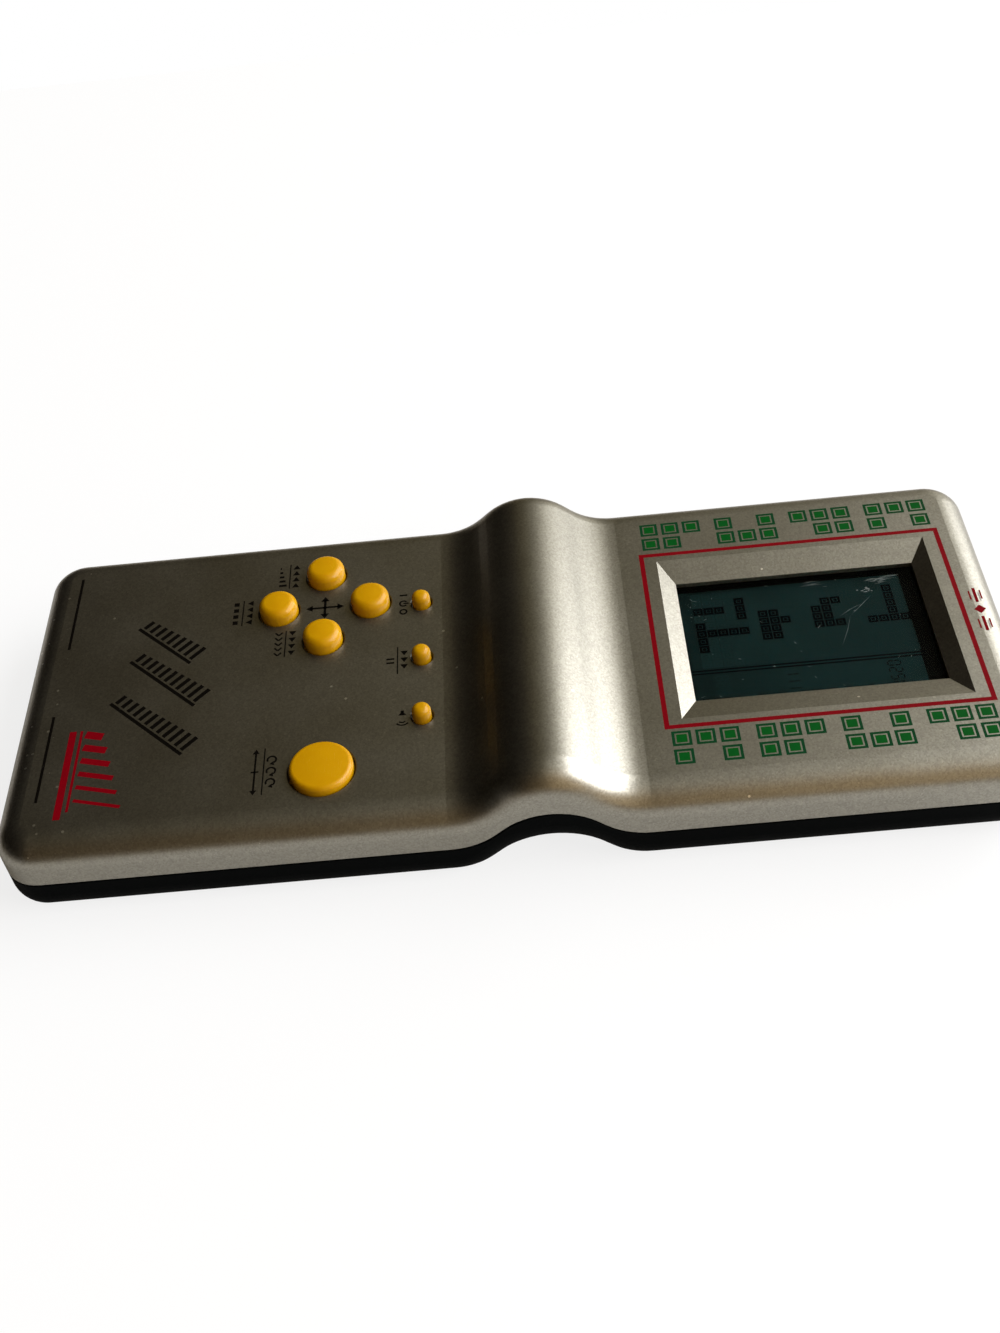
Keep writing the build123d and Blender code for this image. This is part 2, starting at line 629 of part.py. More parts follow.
def key_mat(keys, radius):
    """One moulded mat with a dome under each of its keys: a strip for a row, else a disc."""
    reach = radius + MAT_SHOULDER + MAT_MARGIN
    x_half = (max(x for _, x, _ in keys) - min(x for _, x, _ in keys)) / 2 + reach
    y_half = (max(y for _, _, y in keys) - min(y for _, _, y in keys)) / 2 + reach
    x_middle = (max(x for _, x, _ in keys) + min(x for _, x, _ in keys)) / 2
    y_middle = (max(y for _, _, y in keys) + min(y for _, _, y in keys)) / 2
    if x_half > y_half + radius:
        plan = RectangleRounded(2 * x_half, 2 * y_half, MAT_CORNER_RADIUS)
    else:
        plan = Circle(x_half)
    mat = extrude(Pos(x_middle, y_middle, BOARD_TOP) * plan, amount=MAT_THICKNESS)
    pairs = [dome(x, y, radius) for _, x, y in keys]
    for solid, _ in pairs:
        mat += solid
    for _, hollow in pairs:
        mat -= hollow
    return mat


def carbon_pills():
    """The conductive pill under each dome."""
    pills = []
    for _, keys, radius, _ in KEY_GROUPS:
        for _, x, y in keys:
            pill_radius = radius * KEY_STEM_SHARE - MAT_DOME_WALL / 2
            pills.append(post(x, y, pill_radius, PILL_LEVEL, PILL_LEVEL + PILL_THICKNESS))
    return pills


def window_lens():
    """The clear lens behind the window."""
    return centred_box(LENS_WIDTH, LENS_LENGTH, SCREEN_Y, LENS_BOTTOM, LENS_TOP)


def display_layers():
    """The layers of the display, from the top down."""
    layers = {
        "lcd_polariser": (REAR_GLASS_WIDTH, FRONT_GLASS_TOP, POLARISER_TOP),
        "lcd_front_glass": (GLASS_WIDTH, FRONT_GLASS_BOTTOM, FRONT_GLASS_TOP),
        "lcd_rear_glass": (REAR_GLASS_WIDTH, REAR_GLASS_BOTTOM, FRONT_GLASS_BOTTOM),
        "lcd_reflector": (REAR_GLASS_WIDTH, REFLECTOR_BOTTOM, REAR_GLASS_BOTTOM),
    }
    return {
        name: centred_box(width, GLASS_LENGTH, SCREEN_Y, low, high)
        for name, (width, low, high) in layers.items()
    }


def lcd_holder():
    """The frame that holds the display against the lens, over the board."""
    pocket_width = GLASS_WIDTH + 2 * GLASS_GAP
    pocket_length = GLASS_LENGTH + 2 * GLASS_GAP
    top = LENS_BOTTOM - HOLDER_GAP
    frame = centred_box(HOLDER_WIDTH, HOLDER_LENGTH, SCREEN_Y, BOARD_TOP, top)
    frame -= centred_box(
        pocket_width, pocket_length, SCREEN_Y, REFLECTOR_BOTTOM, top + OVERRUN
    )
    frame -= centred_box(
        pocket_width, pocket_length - 2 * HOLDER_LEDGE, SCREEN_Y, BOARD_TOP - OVERRUN, top
    )
    return frame


def zebra_strips():
    """The two rubber connectors between the display's ledges and the board."""
    length = GLASS_LENGTH + 2 * (GLASS_GAP - HOLDER_LEDGE - ZEBRA_GAP)
    offset = (GLASS_WIDTH - GLASS_LEDGE) / 2
    return [
        Pos(side * offset, 0, 0)
        * centred_box(ZEBRA_WIDTH, length, SCREEN_Y, BOARD_TOP, FRONT_GLASS_BOTTOM)
        for side in (-1, 1)
    ]


def main_board():
    """The circuit board, notched round the case posts and drilled for its screws."""
    plan = RectangleRounded(2 * BOARD_HALF_WIDTH, BOARD_HIGH - BOARD_LOW, BOARD_CORNER_RADIUS)
    middle = (BOARD_LOW + BOARD_HIGH) / 2
    board = extrude(Pos(0, middle, BOARD_BOTTOM) * plan, amount=BOARD_THICKNESS)
    for x, y in CASE_SCREW_PLACES:
        notch = CASE_POST_RADIUS + POST_NOTCH_GAP
        board -= post(x, y, notch, BOARD_BOTTOM - OVERRUN, BOARD_TOP + OVERRUN)
        side = 1 if x > 0 else -1
        reach = side * (BODY_WIDTH / 2)
        board -= box_between(
            min(x, reach), max(x, reach), y - notch, y + notch,
            BOARD_BOTTOM - OVERRUN, BOARD_TOP + OVERRUN,
        )
    for x, y in BOARD_SCREW_PLACES:
        hole = BOARD_SCREW_RADIUS + SCREW_HOLE_GAP
        board -= post(x, y, hole, BOARD_BOTTOM - OVERRUN, BOARD_TOP + OVERRUN)
    return max(board.solids(), key=lambda solid: solid.volume)


def screw(x, y, radius, head_radius, head_low, head_height, tip):
    """A pan-head screw, head down, with a cross recess."""
    head_top = head_low + head_height
    head = post(x, y, head_radius, head_low, head_top)
    head = fillet(head.edges().group_by(Axis.Z)[0], head_height / 3)
    body = head + post(x, y, radius, head_top, tip)
    slot = 2 * head_radius * SCREW_SLOT_SHARE
    for long_x, long_y in ((slot, SCREW_SLOT_WIDTH), (SCREW_SLOT_WIDTH, slot)):
        body -= box_between(
            x - long_x / 2, x + long_x / 2, y - long_y / 2, y + long_y / 2,
            head_low - OVERRUN, head_low + SCREW_SLOT_DEPTH,
        )
    return body


def case_screws():
    """The screws that close the case from behind."""
    return [
        screw(
            x, y, CASE_SCREW_RADIUS, CASE_SCREW_HEAD_RADIUS, CASE_SCREW_HEAD_DEPTH,
            CASE_SCREW_HEAD_HEIGHT, PARTING + CASE_SCREW_BITE,
        )
        for x, y in CASE_SCREW_PLACES
    ]


def board_screws():
    """The screws that hold the board to the silver half."""
    return [
        screw(
            x, y, BOARD_SCREW_RADIUS, BOARD_SCREW_HEAD_RADIUS,
            BOARD_BOTTOM - BOARD_SCREW_HEAD_HEIGHT, BOARD_SCREW_HEAD_HEIGHT,
            BOARD_TOP + BOARD_SCREW_BITE,
        )
        for x, y in BOARD_SCREW_PLACES
    ]


def wire(points, bend, radius):
    """A round wire along straight runs joined by arcs."""
    path = FilletPolyline(*points, radius=bend)
    section = Plane(origin=path @ 0, z_dir=path % 0) * Circle(radius)
    return sweep(section, path=path)


def battery_cell(y, nub_side):
    """A round cell lying across the case, its nub towards one side."""
    low = -BAY_WIDTH / 2 + CONTACT_PLATE + SPRING_LENGTH + CELL_GAP
    can = Cylinder(CELL_DIAMETER / 2, CELL_BODY_LENGTH)
    can = fillet(can.edges(), CELL_EDGE_RADIUS)
    nub_middle = CELL_BODY_LENGTH / 2 + CELL_NUB_LENGTH / 2
    can += Pos(0, 0, nub_middle) * Cylinder(CELL_NUB_DIAMETER / 2, CELL_NUB_LENGTH)
    across = Rot(0, 90, 0) if nub_side > 0 else Rot(0, -90, 0)
    middle = nub_side * (low + CELL_BODY_LENGTH / 2)
    return Pos(middle, y, CELL_Z) * across * can


def contact_spring(y, side):
    """A cone-shaped coil from a contact plate to a cell's flat end."""
    height = SPRING_LENGTH - SPRING_WIRE / 2
    steps = 4 * SPRING_TURNS
    base = BAY_WIDTH / 2 - CONTACT_PLATE

    def on_coil(step):
        share = step / steps
        turn = radians(90 * step)
        radius = SPRING_BASE_RADIUS + (SPRING_TIP_RADIUS - SPRING_BASE_RADIUS) * share
        return (
            side * (base - height * share), y + radius * cos(turn), CELL_Z + radius * sin(turn)
        )

    arcs = [
        ThreePointArc(on_coil(step), on_coil(step + 0.5), on_coil(step + 1))
        for step in range(steps)
    ]
    path = Wire(arcs)
    section = Plane(origin=path @ 0, z_dir=path % 0) * Circle(SPRING_WIRE / 2)
    return sweep(section, path=path)


def contact_plate(y, side, width):
    """A contact plate against the end wall of the bay."""
    wall = BAY_WIDTH / 2
    inner = wall - CONTACT_PLATE
    return box_between(
        min(side * inner, side * wall), max(side * inner, side * wall),
        y - width / 2, y + width / 2,
        CELL_Z - CONTACT_HEIGHT / 2, CELL_Z + CONTACT_HEIGHT / 2,
    )


def contact_tab(y):
    """The tab that takes a lead through the end wall of the bay."""
    return box_between(
        BAY_WIDTH / 2 - CONTACT_PLATE, BAY_WIDTH / 2 + BAY_WALL + CONTACT_TAB_REACH,
        y - CONTACT_TAB_WIDTH / 2, y + CONTACT_TAB_WIDTH / 2,
        CELL_Z - CONTACT_PLATE / 2, CELL_Z + CONTACT_PLATE / 2,
    )


def chip_blob():
    """The black resin drop over the chip, under the display."""
    ball = (CHIP_RADIUS**2 + CHIP_HEIGHT**2) / (2 * CHIP_HEIGHT)
    drop = Pos(0, SCREEN_Y, BOARD_BOTTOM - CHIP_HEIGHT + ball) * Sphere(ball)
    return drop & post(0, SCREEN_Y, CHIP_RADIUS, BOARD_BOTTOM - CHIP_HEIGHT, BOARD_BOTTOM)


def resistors():
    """Small resistors in a row under the board, on bent leads."""
    row = []
    level = BOARD_BOTTOM - RESISTOR_STANDOFF - RESISTOR_RADIUS
    half = RESISTOR_LENGTH / 2
    foot = half + LEAD_REACH
    y_start = SCREEN_Y - CHIP_RADIUS - 2 * RESISTOR_SPACING
    for index in range(RESISTOR_COUNT):
        x = (2 * index - RESISTOR_COUNT + 1) * RESISTOR_SPACING
        y = y_start - (index % 2) * RESISTOR_SPACING / 2
        body = Pos(x, y, level) * Rot(90, 0, 0) * Cylinder(RESISTOR_RADIUS, RESISTOR_LENGTH)
        body = fillet(body.edges(), RESISTOR_RADIUS / 3)
        points = [
            (x, y - foot, BOARD_BOTTOM), (x, y - foot, level),
            (x, y + foot, level), (x, y + foot, BOARD_BOTTOM),
        ]
        row.append(body + wire(points, LEAD_BEND, LEAD_RADIUS))
    return row


def ceramic_capacitors():
    """Small disc capacitors that hang from the board on two leads."""
    row = []
    level = BOARD_BOTTOM - LEAD_REACH - CERAMIC_RADIUS
    y = SCREEN_Y + CHIP_RADIUS + CERAMIC_SPACING
    for index in range(CERAMIC_COUNT):
        x = (index - (CERAMIC_COUNT - 1) / 2) * CERAMIC_SPACING
        disc = Pos(x, y, level) * Rot(90, 0, 0) * Cylinder(CERAMIC_RADIUS, CERAMIC_THICKNESS)
        disc = fillet(disc.edges(), CERAMIC_THICKNESS / 3)
        for side in (-1, 1):
            lead_x = x + side * CERAMIC_RADIUS / 2
            disc += post(lead_x, y, LEAD_RADIUS, level, BOARD_BOTTOM)
        row.append(disc)
    return row


def tank_capacitor():
    """The round capacitor lying under the board beside the battery bay."""
    x = ROTATE_X - ROTATE_RADIUS
    y = BOARD_LOW + TANK_LENGTH
    level = BOARD_BOTTOM - TANK_RADIUS - CELL_GAP
    can = Pos(x, y, level) * Rot(90, 0, 0) * Cylinder(TANK_RADIUS, TANK_LENGTH)
    can = fillet(can.edges(), TANK_RADIUS / 5)
    end = y + TANK_LENGTH / 2
    for side in (-1, 1):
        lead_x = x + side * TANK_LEAD_PITCH / 2
        points = [
            (lead_x, end - LEAD_BEND, level), (lead_x, end + LEAD_REACH, level),
            (lead_x, end + LEAD_REACH, BOARD_BOTTOM),
        ]
        can += wire(points, LEAD_BEND, LEAD_RADIUS)
    return can


def battery_lead(y, lane):
    """A lead from a contact tab, round the corner of the bay, up to the board's underside."""
    x_side = BAY_WIDTH / 2 + BAY_WALL + CONTACT_TAB_REACH - WIRE_RADIUS
    z_tab = CELL_Z - CONTACT_PLATE / 2 - WIRE_RADIUS
    z_lane = z_tab - lane * WIRE_LANE
    y_board = BOARD_LOW + WIRE_TO_BOARD_EDGE
    x_end = x_side - WIRE_RUN_IN - lane * 2 * WIRE_LANE
    points = [(x_side, y - CONTACT_TAB_WIDTH / 2, z_tab)]
    if lane:
        points.append((x_side, y + CONTACT_TAB_WIDTH, z_tab))
        points.append((x_side, y + CONTACT_TAB_WIDTH + 2 * WIRE_LANE, z_lane))
    points += [(x_side, y_board, z_lane), (x_end, y_board, z_lane), (x_end, y_board, BOARD_BOTTOM)]
    return wire(points, WIRE_BEND, WIRE_RADIUS)


def buzzer_lead(lead_x, disc_z):
    """A lead from the buzzer up to the board's underside."""
    middle = (disc_z + BOARD_BOTTOM) / 2
    end_y = BUZZER_Y + BUZZER_LEAD_RUN
    points = [
        (lead_x, BUZZER_Y, disc_z), (lead_x, BUZZER_Y, middle),
        (lead_x, end_y, middle), (lead_x, end_y, BOARD_BOTTOM),
    ]
    return wire(points, WIRE_BEND, WIRE_RADIUS)


def all_nodes():
    """Every sub-part by its node name."""
    rear_shape = rear_outside()
    nodes = {
        "front_cover": front_cover(),
        "rear_cover": rear_cover(rear_shape),
        "battery_door": battery_door(rear_shape),
        "window_lens": window_lens(),
        "lcd_holder": lcd_holder(),
        "zebra_strips": zebra_strips(),
        "main_board": main_board(),
        "chip_blob": chip_blob(),
        "resistors": resistors(),
        "ceramic_capacitors": ceramic_capacitors(),
        "tank_capacitor": tank_capacitor(),
        "carbon_pills": carbon_pills(),
        "case_screws": case_screws(),
        "board_screws": board_screws(),
    }
    nodes.update(display_layers())
    for mat_name, keys, radius, height in KEY_GROUPS:
        nodes[mat_name] = key_mat(keys, radius)
        for name, x, y in keys:
            nodes[name] = key(x, y, radius, height)
    row_low, row_high = cell_rows()
    nodes["battery_cell_low"] = battery_cell(row_low, 1)
    nodes["battery_cell_high"] = battery_cell(row_high, -1)
    bridge_width = CELL_PITCH + CONTACT_WIDTH
    nodes["bridge_contact"] = contact_plate(BAY_Y, -1, bridge_width) + contact_spring(row_low, -1)
    nodes["positive_contact"] = contact_plate(row_low, 1, CONTACT_WIDTH) + contact_tab(row_low)
    nodes["negative_contact"] = (
        contact_plate(row_high, 1, CONTACT_WIDTH) + contact_tab(row_high)
        + contact_spring(row_high, 1)
    )
    disc_low = WALL + BUZZER_CHAMBER
    disc_high = disc_low + BUZZER_THICKNESS
    nodes["buzzer_disc"] = post(BUZZER_X, BUZZER_Y, BUZZER_RADIUS, disc_low, disc_high)
    nodes["buzzer_ceramic"] = post(
        BUZZER_X, BUZZER_Y, CERAMIC_DISC_RADIUS, disc_high, disc_high + CERAMIC_DISC_THICKNESS
    )
    nodes["positive_lead"] = battery_lead(row_low, 1)
    nodes["negative_lead"] = battery_lead(row_high, 0)
    rim_x = BUZZER_X + (BUZZER_RADIUS + CERAMIC_DISC_RADIUS) / 2
    nodes["buzzer_lead_disc"] = buzzer_lead(rim_x, disc_high)
    nodes["buzzer_lead_ceramic"] = buzzer_lead(BUZZER_X, disc_high + CERAMIC_DISC_THICKNESS)
    return nodes


os.makedirs("parts", exist_ok=True)
for node_name, shape in all_nodes().items():
    whole = Compound(children=list(shape)) if isinstance(shape, list) else shape
    export_step(whole, f"parts/{node_name}.step")
    print(node_name, round(whole.volume, 2))
door_edge = BAY_LOW - DOOR_LEDGE + DOOR_GAP
print("door hinge at y", round(door_edge + DOOR_HINGE_IN, 3), "z", DOOR_HINGE_UP)
print("middle of the hump at y", round(HUMP_Y, 3), "and of the screen at y", round(SCREEN_Y, 3))
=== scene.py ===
import json
import math
import random

import bmesh
import bpy
from bpy.props import FloatProperty, FloatVectorProperty, IntProperty, PointerProperty
from mathutils import Matrix, Vector

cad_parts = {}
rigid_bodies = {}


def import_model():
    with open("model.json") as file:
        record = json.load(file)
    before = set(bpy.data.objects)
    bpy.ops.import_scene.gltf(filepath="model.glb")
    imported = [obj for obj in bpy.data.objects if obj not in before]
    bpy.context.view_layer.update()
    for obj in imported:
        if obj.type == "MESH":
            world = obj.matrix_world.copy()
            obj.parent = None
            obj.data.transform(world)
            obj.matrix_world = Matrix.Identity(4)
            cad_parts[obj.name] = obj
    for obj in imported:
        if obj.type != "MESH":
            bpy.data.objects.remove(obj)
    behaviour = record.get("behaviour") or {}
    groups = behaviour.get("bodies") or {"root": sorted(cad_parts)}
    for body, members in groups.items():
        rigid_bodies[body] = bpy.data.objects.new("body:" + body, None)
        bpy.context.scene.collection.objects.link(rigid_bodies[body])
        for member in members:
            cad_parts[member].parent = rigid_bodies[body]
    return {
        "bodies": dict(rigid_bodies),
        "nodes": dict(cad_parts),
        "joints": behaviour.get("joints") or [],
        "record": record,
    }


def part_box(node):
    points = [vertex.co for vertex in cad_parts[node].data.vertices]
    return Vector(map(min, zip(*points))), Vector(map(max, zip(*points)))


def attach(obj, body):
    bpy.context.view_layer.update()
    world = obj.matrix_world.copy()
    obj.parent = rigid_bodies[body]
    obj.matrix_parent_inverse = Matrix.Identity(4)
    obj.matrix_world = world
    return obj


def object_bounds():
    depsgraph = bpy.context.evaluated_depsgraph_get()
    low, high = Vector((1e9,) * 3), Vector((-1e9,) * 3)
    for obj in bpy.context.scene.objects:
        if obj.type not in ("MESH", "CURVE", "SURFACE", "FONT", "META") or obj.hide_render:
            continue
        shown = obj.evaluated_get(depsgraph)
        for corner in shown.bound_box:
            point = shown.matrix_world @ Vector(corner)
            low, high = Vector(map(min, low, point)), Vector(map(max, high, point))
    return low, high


bl_info = {
    "name": "Handheld game console",
    "version": (1, 0, 0),
    "blender": (4, 5, 0),
    "location": "3D View > Sidebar > Console",
    "description": "Finishes, prints, display marks and stage of a handheld game console",
    "category": "Object",
}

MM = 0.001

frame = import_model()
CAD_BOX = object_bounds()


def middle(node):
    """The middle of a CAD node's box, in metres."""
    low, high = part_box(node)
    return (low + high) / 2


# Levels and places of the console, read from its frame
HUMP_RISE = 7.3 * MM
CASE_LOW, CASE_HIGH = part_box("front_cover")
FACE_LEVEL = CASE_HIGH.z - HUMP_RISE
SCREEN = middle("window_lens")
FILM_LOW, FILM_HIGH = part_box("lcd_polariser")
LEFT_KEY = middle("left_button")
RIGHT_KEY = middle("right_button")
DOWN_KEY = middle("down_button")
ROTATE_KEY = middle("rotate_button")
ON_OFF_KEY = middle("on_off_button")
START_KEY = middle("start_button")
SOUND_KEY = middle("sound_button")
FIELD_LOW = SCREEN + Vector((-14.4, -20.0, 0)) * MM
KEYS = (
    "left_button", "right_button", "up_button", "down_button",
    "rotate_button", "on_off_button", "start_button", "sound_button",
)

# The camera's place and turn, found from the case's edges in the photograph
CAMERA_PLACE = Vector((206.53, 9.27, 224.40)) * MM
CAMERA_AZIMUTH = math.radians(93.022)
CAMERA_ELEVATION = math.radians(45.490)
CAMERA_ROLL = math.radians(-7.350)
CAMERA_FOCAL_PIXELS = 1577.7
PHOTO_HEIGHT = 1333
SENSOR_LONG_SIDE = 36.0

# The groups of framed squares along the two sides of the display, from the hump to the end:
# outer row and inner row, with x for a square
FAR_GROUPS = (("xxx", "xx"), ("x.x", "xxx"), ("xxx", ".xx"), ("xxx", "x.x"))
NEAR_GROUPS = (("x.x", "xxx"), ("xx", "xxx"), ("xxx", "x.x"), (".xx", "xxx"))

# Blocks of dark cells in the display's field: first and last column, first and last row
DARK_BLOCKS = (
    (1, 3, 4, 4), (2, 2, 0, 2), (5, 5, 0, 4), (4, 7, 0, 0),
    (3, 3, 6, 7), (4, 4, 6, 8), (5, 6, 6, 7),
    (2, 2, 12, 13), (3, 4, 11, 12), (5, 5, 11, 13),
    (1, 4, 18, 18), (5, 5, 16, 19),
)

# Which of a digit's seven bars are dark
DIGIT_BARS = {"0": "abcdef", "1": "bc", "2": "abged", "5": "afgcd"}
COUNTER_DIGITS = "0250"


def colour(code):
    """A linear colour with full alpha from an sRGB hex code."""
    parts = [int(code[start:start + 2], 16) / 255 for start in (1, 3, 5)]
    linear = [((part + 0.055) / 1.055) ** 2.4 if part > 0.04045 else part / 12.92 for part in parts]
    return linear + [1.0]


def usable(sockets, name):
    """The socket of this number, or the first in use with this name."""
    if isinstance(name, int):
        return sockets[name]
    return next(found for found in sockets if found.enabled and found.name == name)


def set_inputs(tree, node, inputs):
    """Sets or links a node's inputs: a value, another node's socket, or a node's first output."""
    for name, value in dict(inputs).items():
        target = usable(node.inputs, name)
        if isinstance(value, bpy.types.Node):
            value = next(found for found in value.outputs if found.enabled)
        if isinstance(value, bpy.types.NodeSocket):
            tree.links.new(value, target)
        else:
            target.default_value = value


def add_node(tree, kind, inputs=(), **settings):
    """Adds one node with its settings and its inputs."""
    node = tree.nodes.new(kind)
    for name, value in settings.items():
        setattr(node, name, value)
    set_inputs(tree, node, inputs)
    return node


def per_length(size):
    """The texture scale that repeats once in this many metres."""
    return 1 / size


def scaled(base, share):
    """A colour made darker or lighter by a share."""
    return [min(part * share, 1.0) for part in base[:3]] + [1.0]


class ConsolePaint(bpy.types.PropertyGroup):
    """Finish of the silver half and the prints on it."""

    silver: FloatVectorProperty(
        name="Silver", description="Colour of the silver lacquer",
        subtype="COLOR", default=colour("#A3A096")[:3], min=0, max=1,
    )
    silver_roughness: FloatProperty(
        name="Silver roughness", description="How satin the lacquer is",
        subtype="FACTOR", default=0.34, min=0, max=1,
    )
    flake: FloatProperty(
        name="Flake", description="Size of the lacquer's metal flakes",
        subtype="DISTANCE", unit="LENGTH", default=0.3 * MM,
    )
    red: FloatVectorProperty(
        name="Red ink", description="Colour of the frame line and the red stripes",
        subtype="COLOR", default=colour("#70000C")[:3], min=0, max=1,
    )
    green: FloatVectorProperty(
        name="Green ink", description="Colour inside the framed squares",
        subtype="COLOR", default=colour("#014A14")[:3], min=0, max=1,
    )
    dark_green: FloatVectorProperty(
        name="Dark green ink", description="Colour of the squares' outlines",
        subtype="COLOR", default=colour("#06381C")[:3], min=0, max=1,
    )
    black: FloatVectorProperty(
        name="Black ink", description="Colour of the lines, arrows and key symbols",
        subtype="COLOR", default=colour("#080604")[:3], min=0, max=1,
    )
    ink_depth: FloatProperty(
        name="Ink depth", description="Thickness of the screen print",
        subtype="DISTANCE", unit="LENGTH", default=0.02 * MM,
    )


class ConsolePlastic(bpy.types.PropertyGroup):
    """Finish of the moulded plastic."""

    black: FloatVectorProperty(
        name="Black", description="Colour of the black half",
        subtype="COLOR", default=colour("#040607")[:3], min=0, max=1,
    )
    yellow: FloatVectorProperty(
        name="Yellow", description="Colour of the keys",
        subtype="COLOR", default=colour("#C69304")[:3], min=0, max=1,
    )
    grain: FloatProperty(
        name="Grain", description="Width of the spark-eroded mould's grain",
        subtype="DISTANCE", unit="LENGTH", default=0.22 * MM,
    )


class ConsoleDisplay(bpy.types.PropertyGroup):
    """Sizes and colours of the display's marks."""

    cell_pitch: FloatProperty(
        name="Cell pitch", description="Spacing of the field's cells",
        subtype="DISTANCE", unit="LENGTH", default=2.0 * MM,
    )
    mark_depth: FloatProperty(
        name="Mark depth", description="Thickness of the marks on the film",
        subtype="DISTANCE", unit="LENGTH", default=0.02 * MM,
    )
    columns: IntProperty(name="Columns", description="Cells across the field", default=10, min=1)
    rows: IntProperty(name="Rows", description="Cells along the field", default=20, min=1)
    film: FloatVectorProperty(
        name="Film", description="Colour of the display behind its film",
        subtype="COLOR", default=colour("#1A2F30")[:3], min=0, max=1,
    )
    faint: FloatVectorProperty(
        name="Faint cell", description="Colour of a cell that is off",
        subtype="COLOR", default=colour("#182C2D")[:3], min=0, max=1,
    )
    dark: FloatVectorProperty(
        name="Dark cell", description="Colour of a cell that is on",
        subtype="COLOR", default=colour("#000408")[:3], min=0, max=1,
    )


class ConsoleStage(bpy.types.PropertyGroup):
    """The light round the console."""

    window_power: FloatProperty(
        name="Window power", description="Power of the window light", default=62.0, min=0,
    )
    window_azimuth: FloatProperty(
        name="Window azimuth", description="Heading of the window light from +X, in degrees",
        default=95.0,
    )
    window_elevation: FloatProperty(
        name="Window elevation", description="Height of the window's middle, in degrees",
        default=29.0,
    )
    window_distance: FloatProperty(
        name="Window distance", description="Distance of the window light",
        subtype="DISTANCE", unit="LENGTH", default=1.6,
    )
    window_width: FloatProperty(
        name="Window width", description="Width of the window light",
        subtype="DISTANCE", unit="LENGTH", default=2.4,
    )
    window_height: FloatProperty(
        name="Window height", description="Height of the window light",
        subtype="DISTANCE", unit="LENGTH", default=1.7,
    )
    sky: FloatProperty(
        name="Sky", description="Strength of the soft light all round", default=1.43, min=0,
    )


def new_material(name):
    """A material with only its surface shader, and the node that gives an object's own place."""
    made = bpy.data.materials.new(name)
    made.use_nodes = True
    tree = made.node_tree
    tree.nodes.clear()
    shader = add_node(tree, "ShaderNodeBsdfPrincipled")
    add_node(tree, "ShaderNodeOutputMaterial", {"Surface": shader})
    place = add_node(tree, "ShaderNodeTexCoord").outputs["Object"]
    return made, tree, shader, place


def grain_bump(tree, place, size, depth, detail=2.0):
    """A bump of soft grains of this width and depth, in metres."""
    grain = add_node(tree, "ShaderNodeTexNoise", {
        "Vector": place, "Scale": per_length(size), "Detail": detail, "Roughness": 0.55,
    })
    return add_node(tree, "ShaderNodeBump", {"Height": grain, "Distance": depth, "Strength": 1.0})


def mottle(tree, place, size, detail, low, high):
    """Soft clouds of this size, and a colour that goes from one to the other with them."""
    clouds = add_node(tree, "ShaderNodeTexNoise", {
        "Vector": place, "Scale": per_length(size), "Detail": detail,
    })
    mottled = add_node(tree, "ShaderNodeMix", {
        "Factor": clouds, "A": low, "B": high,
    }, data_type="RGBA")
    return clouds, mottled


def hairlines(tree, place, spacing, length, turn, share):
    """Fine straight rubs: 1 on the ridges of a stretched noise, where a wide noise is high."""
    turned = add_node(tree, "ShaderNodeMapping", {
        "Vector": place, "Rotation": (0, 0, turn),
        "Scale": (per_length(length), per_length(spacing), per_length(spacing)),
    })
    lines = add_node(tree, "ShaderNodeTexNoise", {"Vector": turned, "Scale": 1.0, "Detail": 1.0})
    patches = add_node(tree, "ShaderNodeTexNoise", {
        "Vector": place, "Scale": per_length(2 * length), "Detail": 1.0,
    })
    ridge = add_node(tree, "ShaderNodeMath", {0: lines, 1: 0.5}, operation="SUBTRACT")
    away = add_node(tree, "ShaderNodeMath", {0: ridge}, operation="ABSOLUTE")
    thin = add_node(tree, "ShaderNodeMapRange", {
        "Value": away, "From Min": 0.012, "From Max": 0.002,
    }, interpolation_type="SMOOTHSTEP")
    kept = add_node(tree, "ShaderNodeMapRange", {
        "Value": patches, "From Min": 1 - share, "From Max": 1 - share + 0.08,
    }, interpolation_type="SMOOTHSTEP")
    return add_node(tree, "ShaderNodeMath", {0: thin, 1: kept}, operation="MULTIPLY")


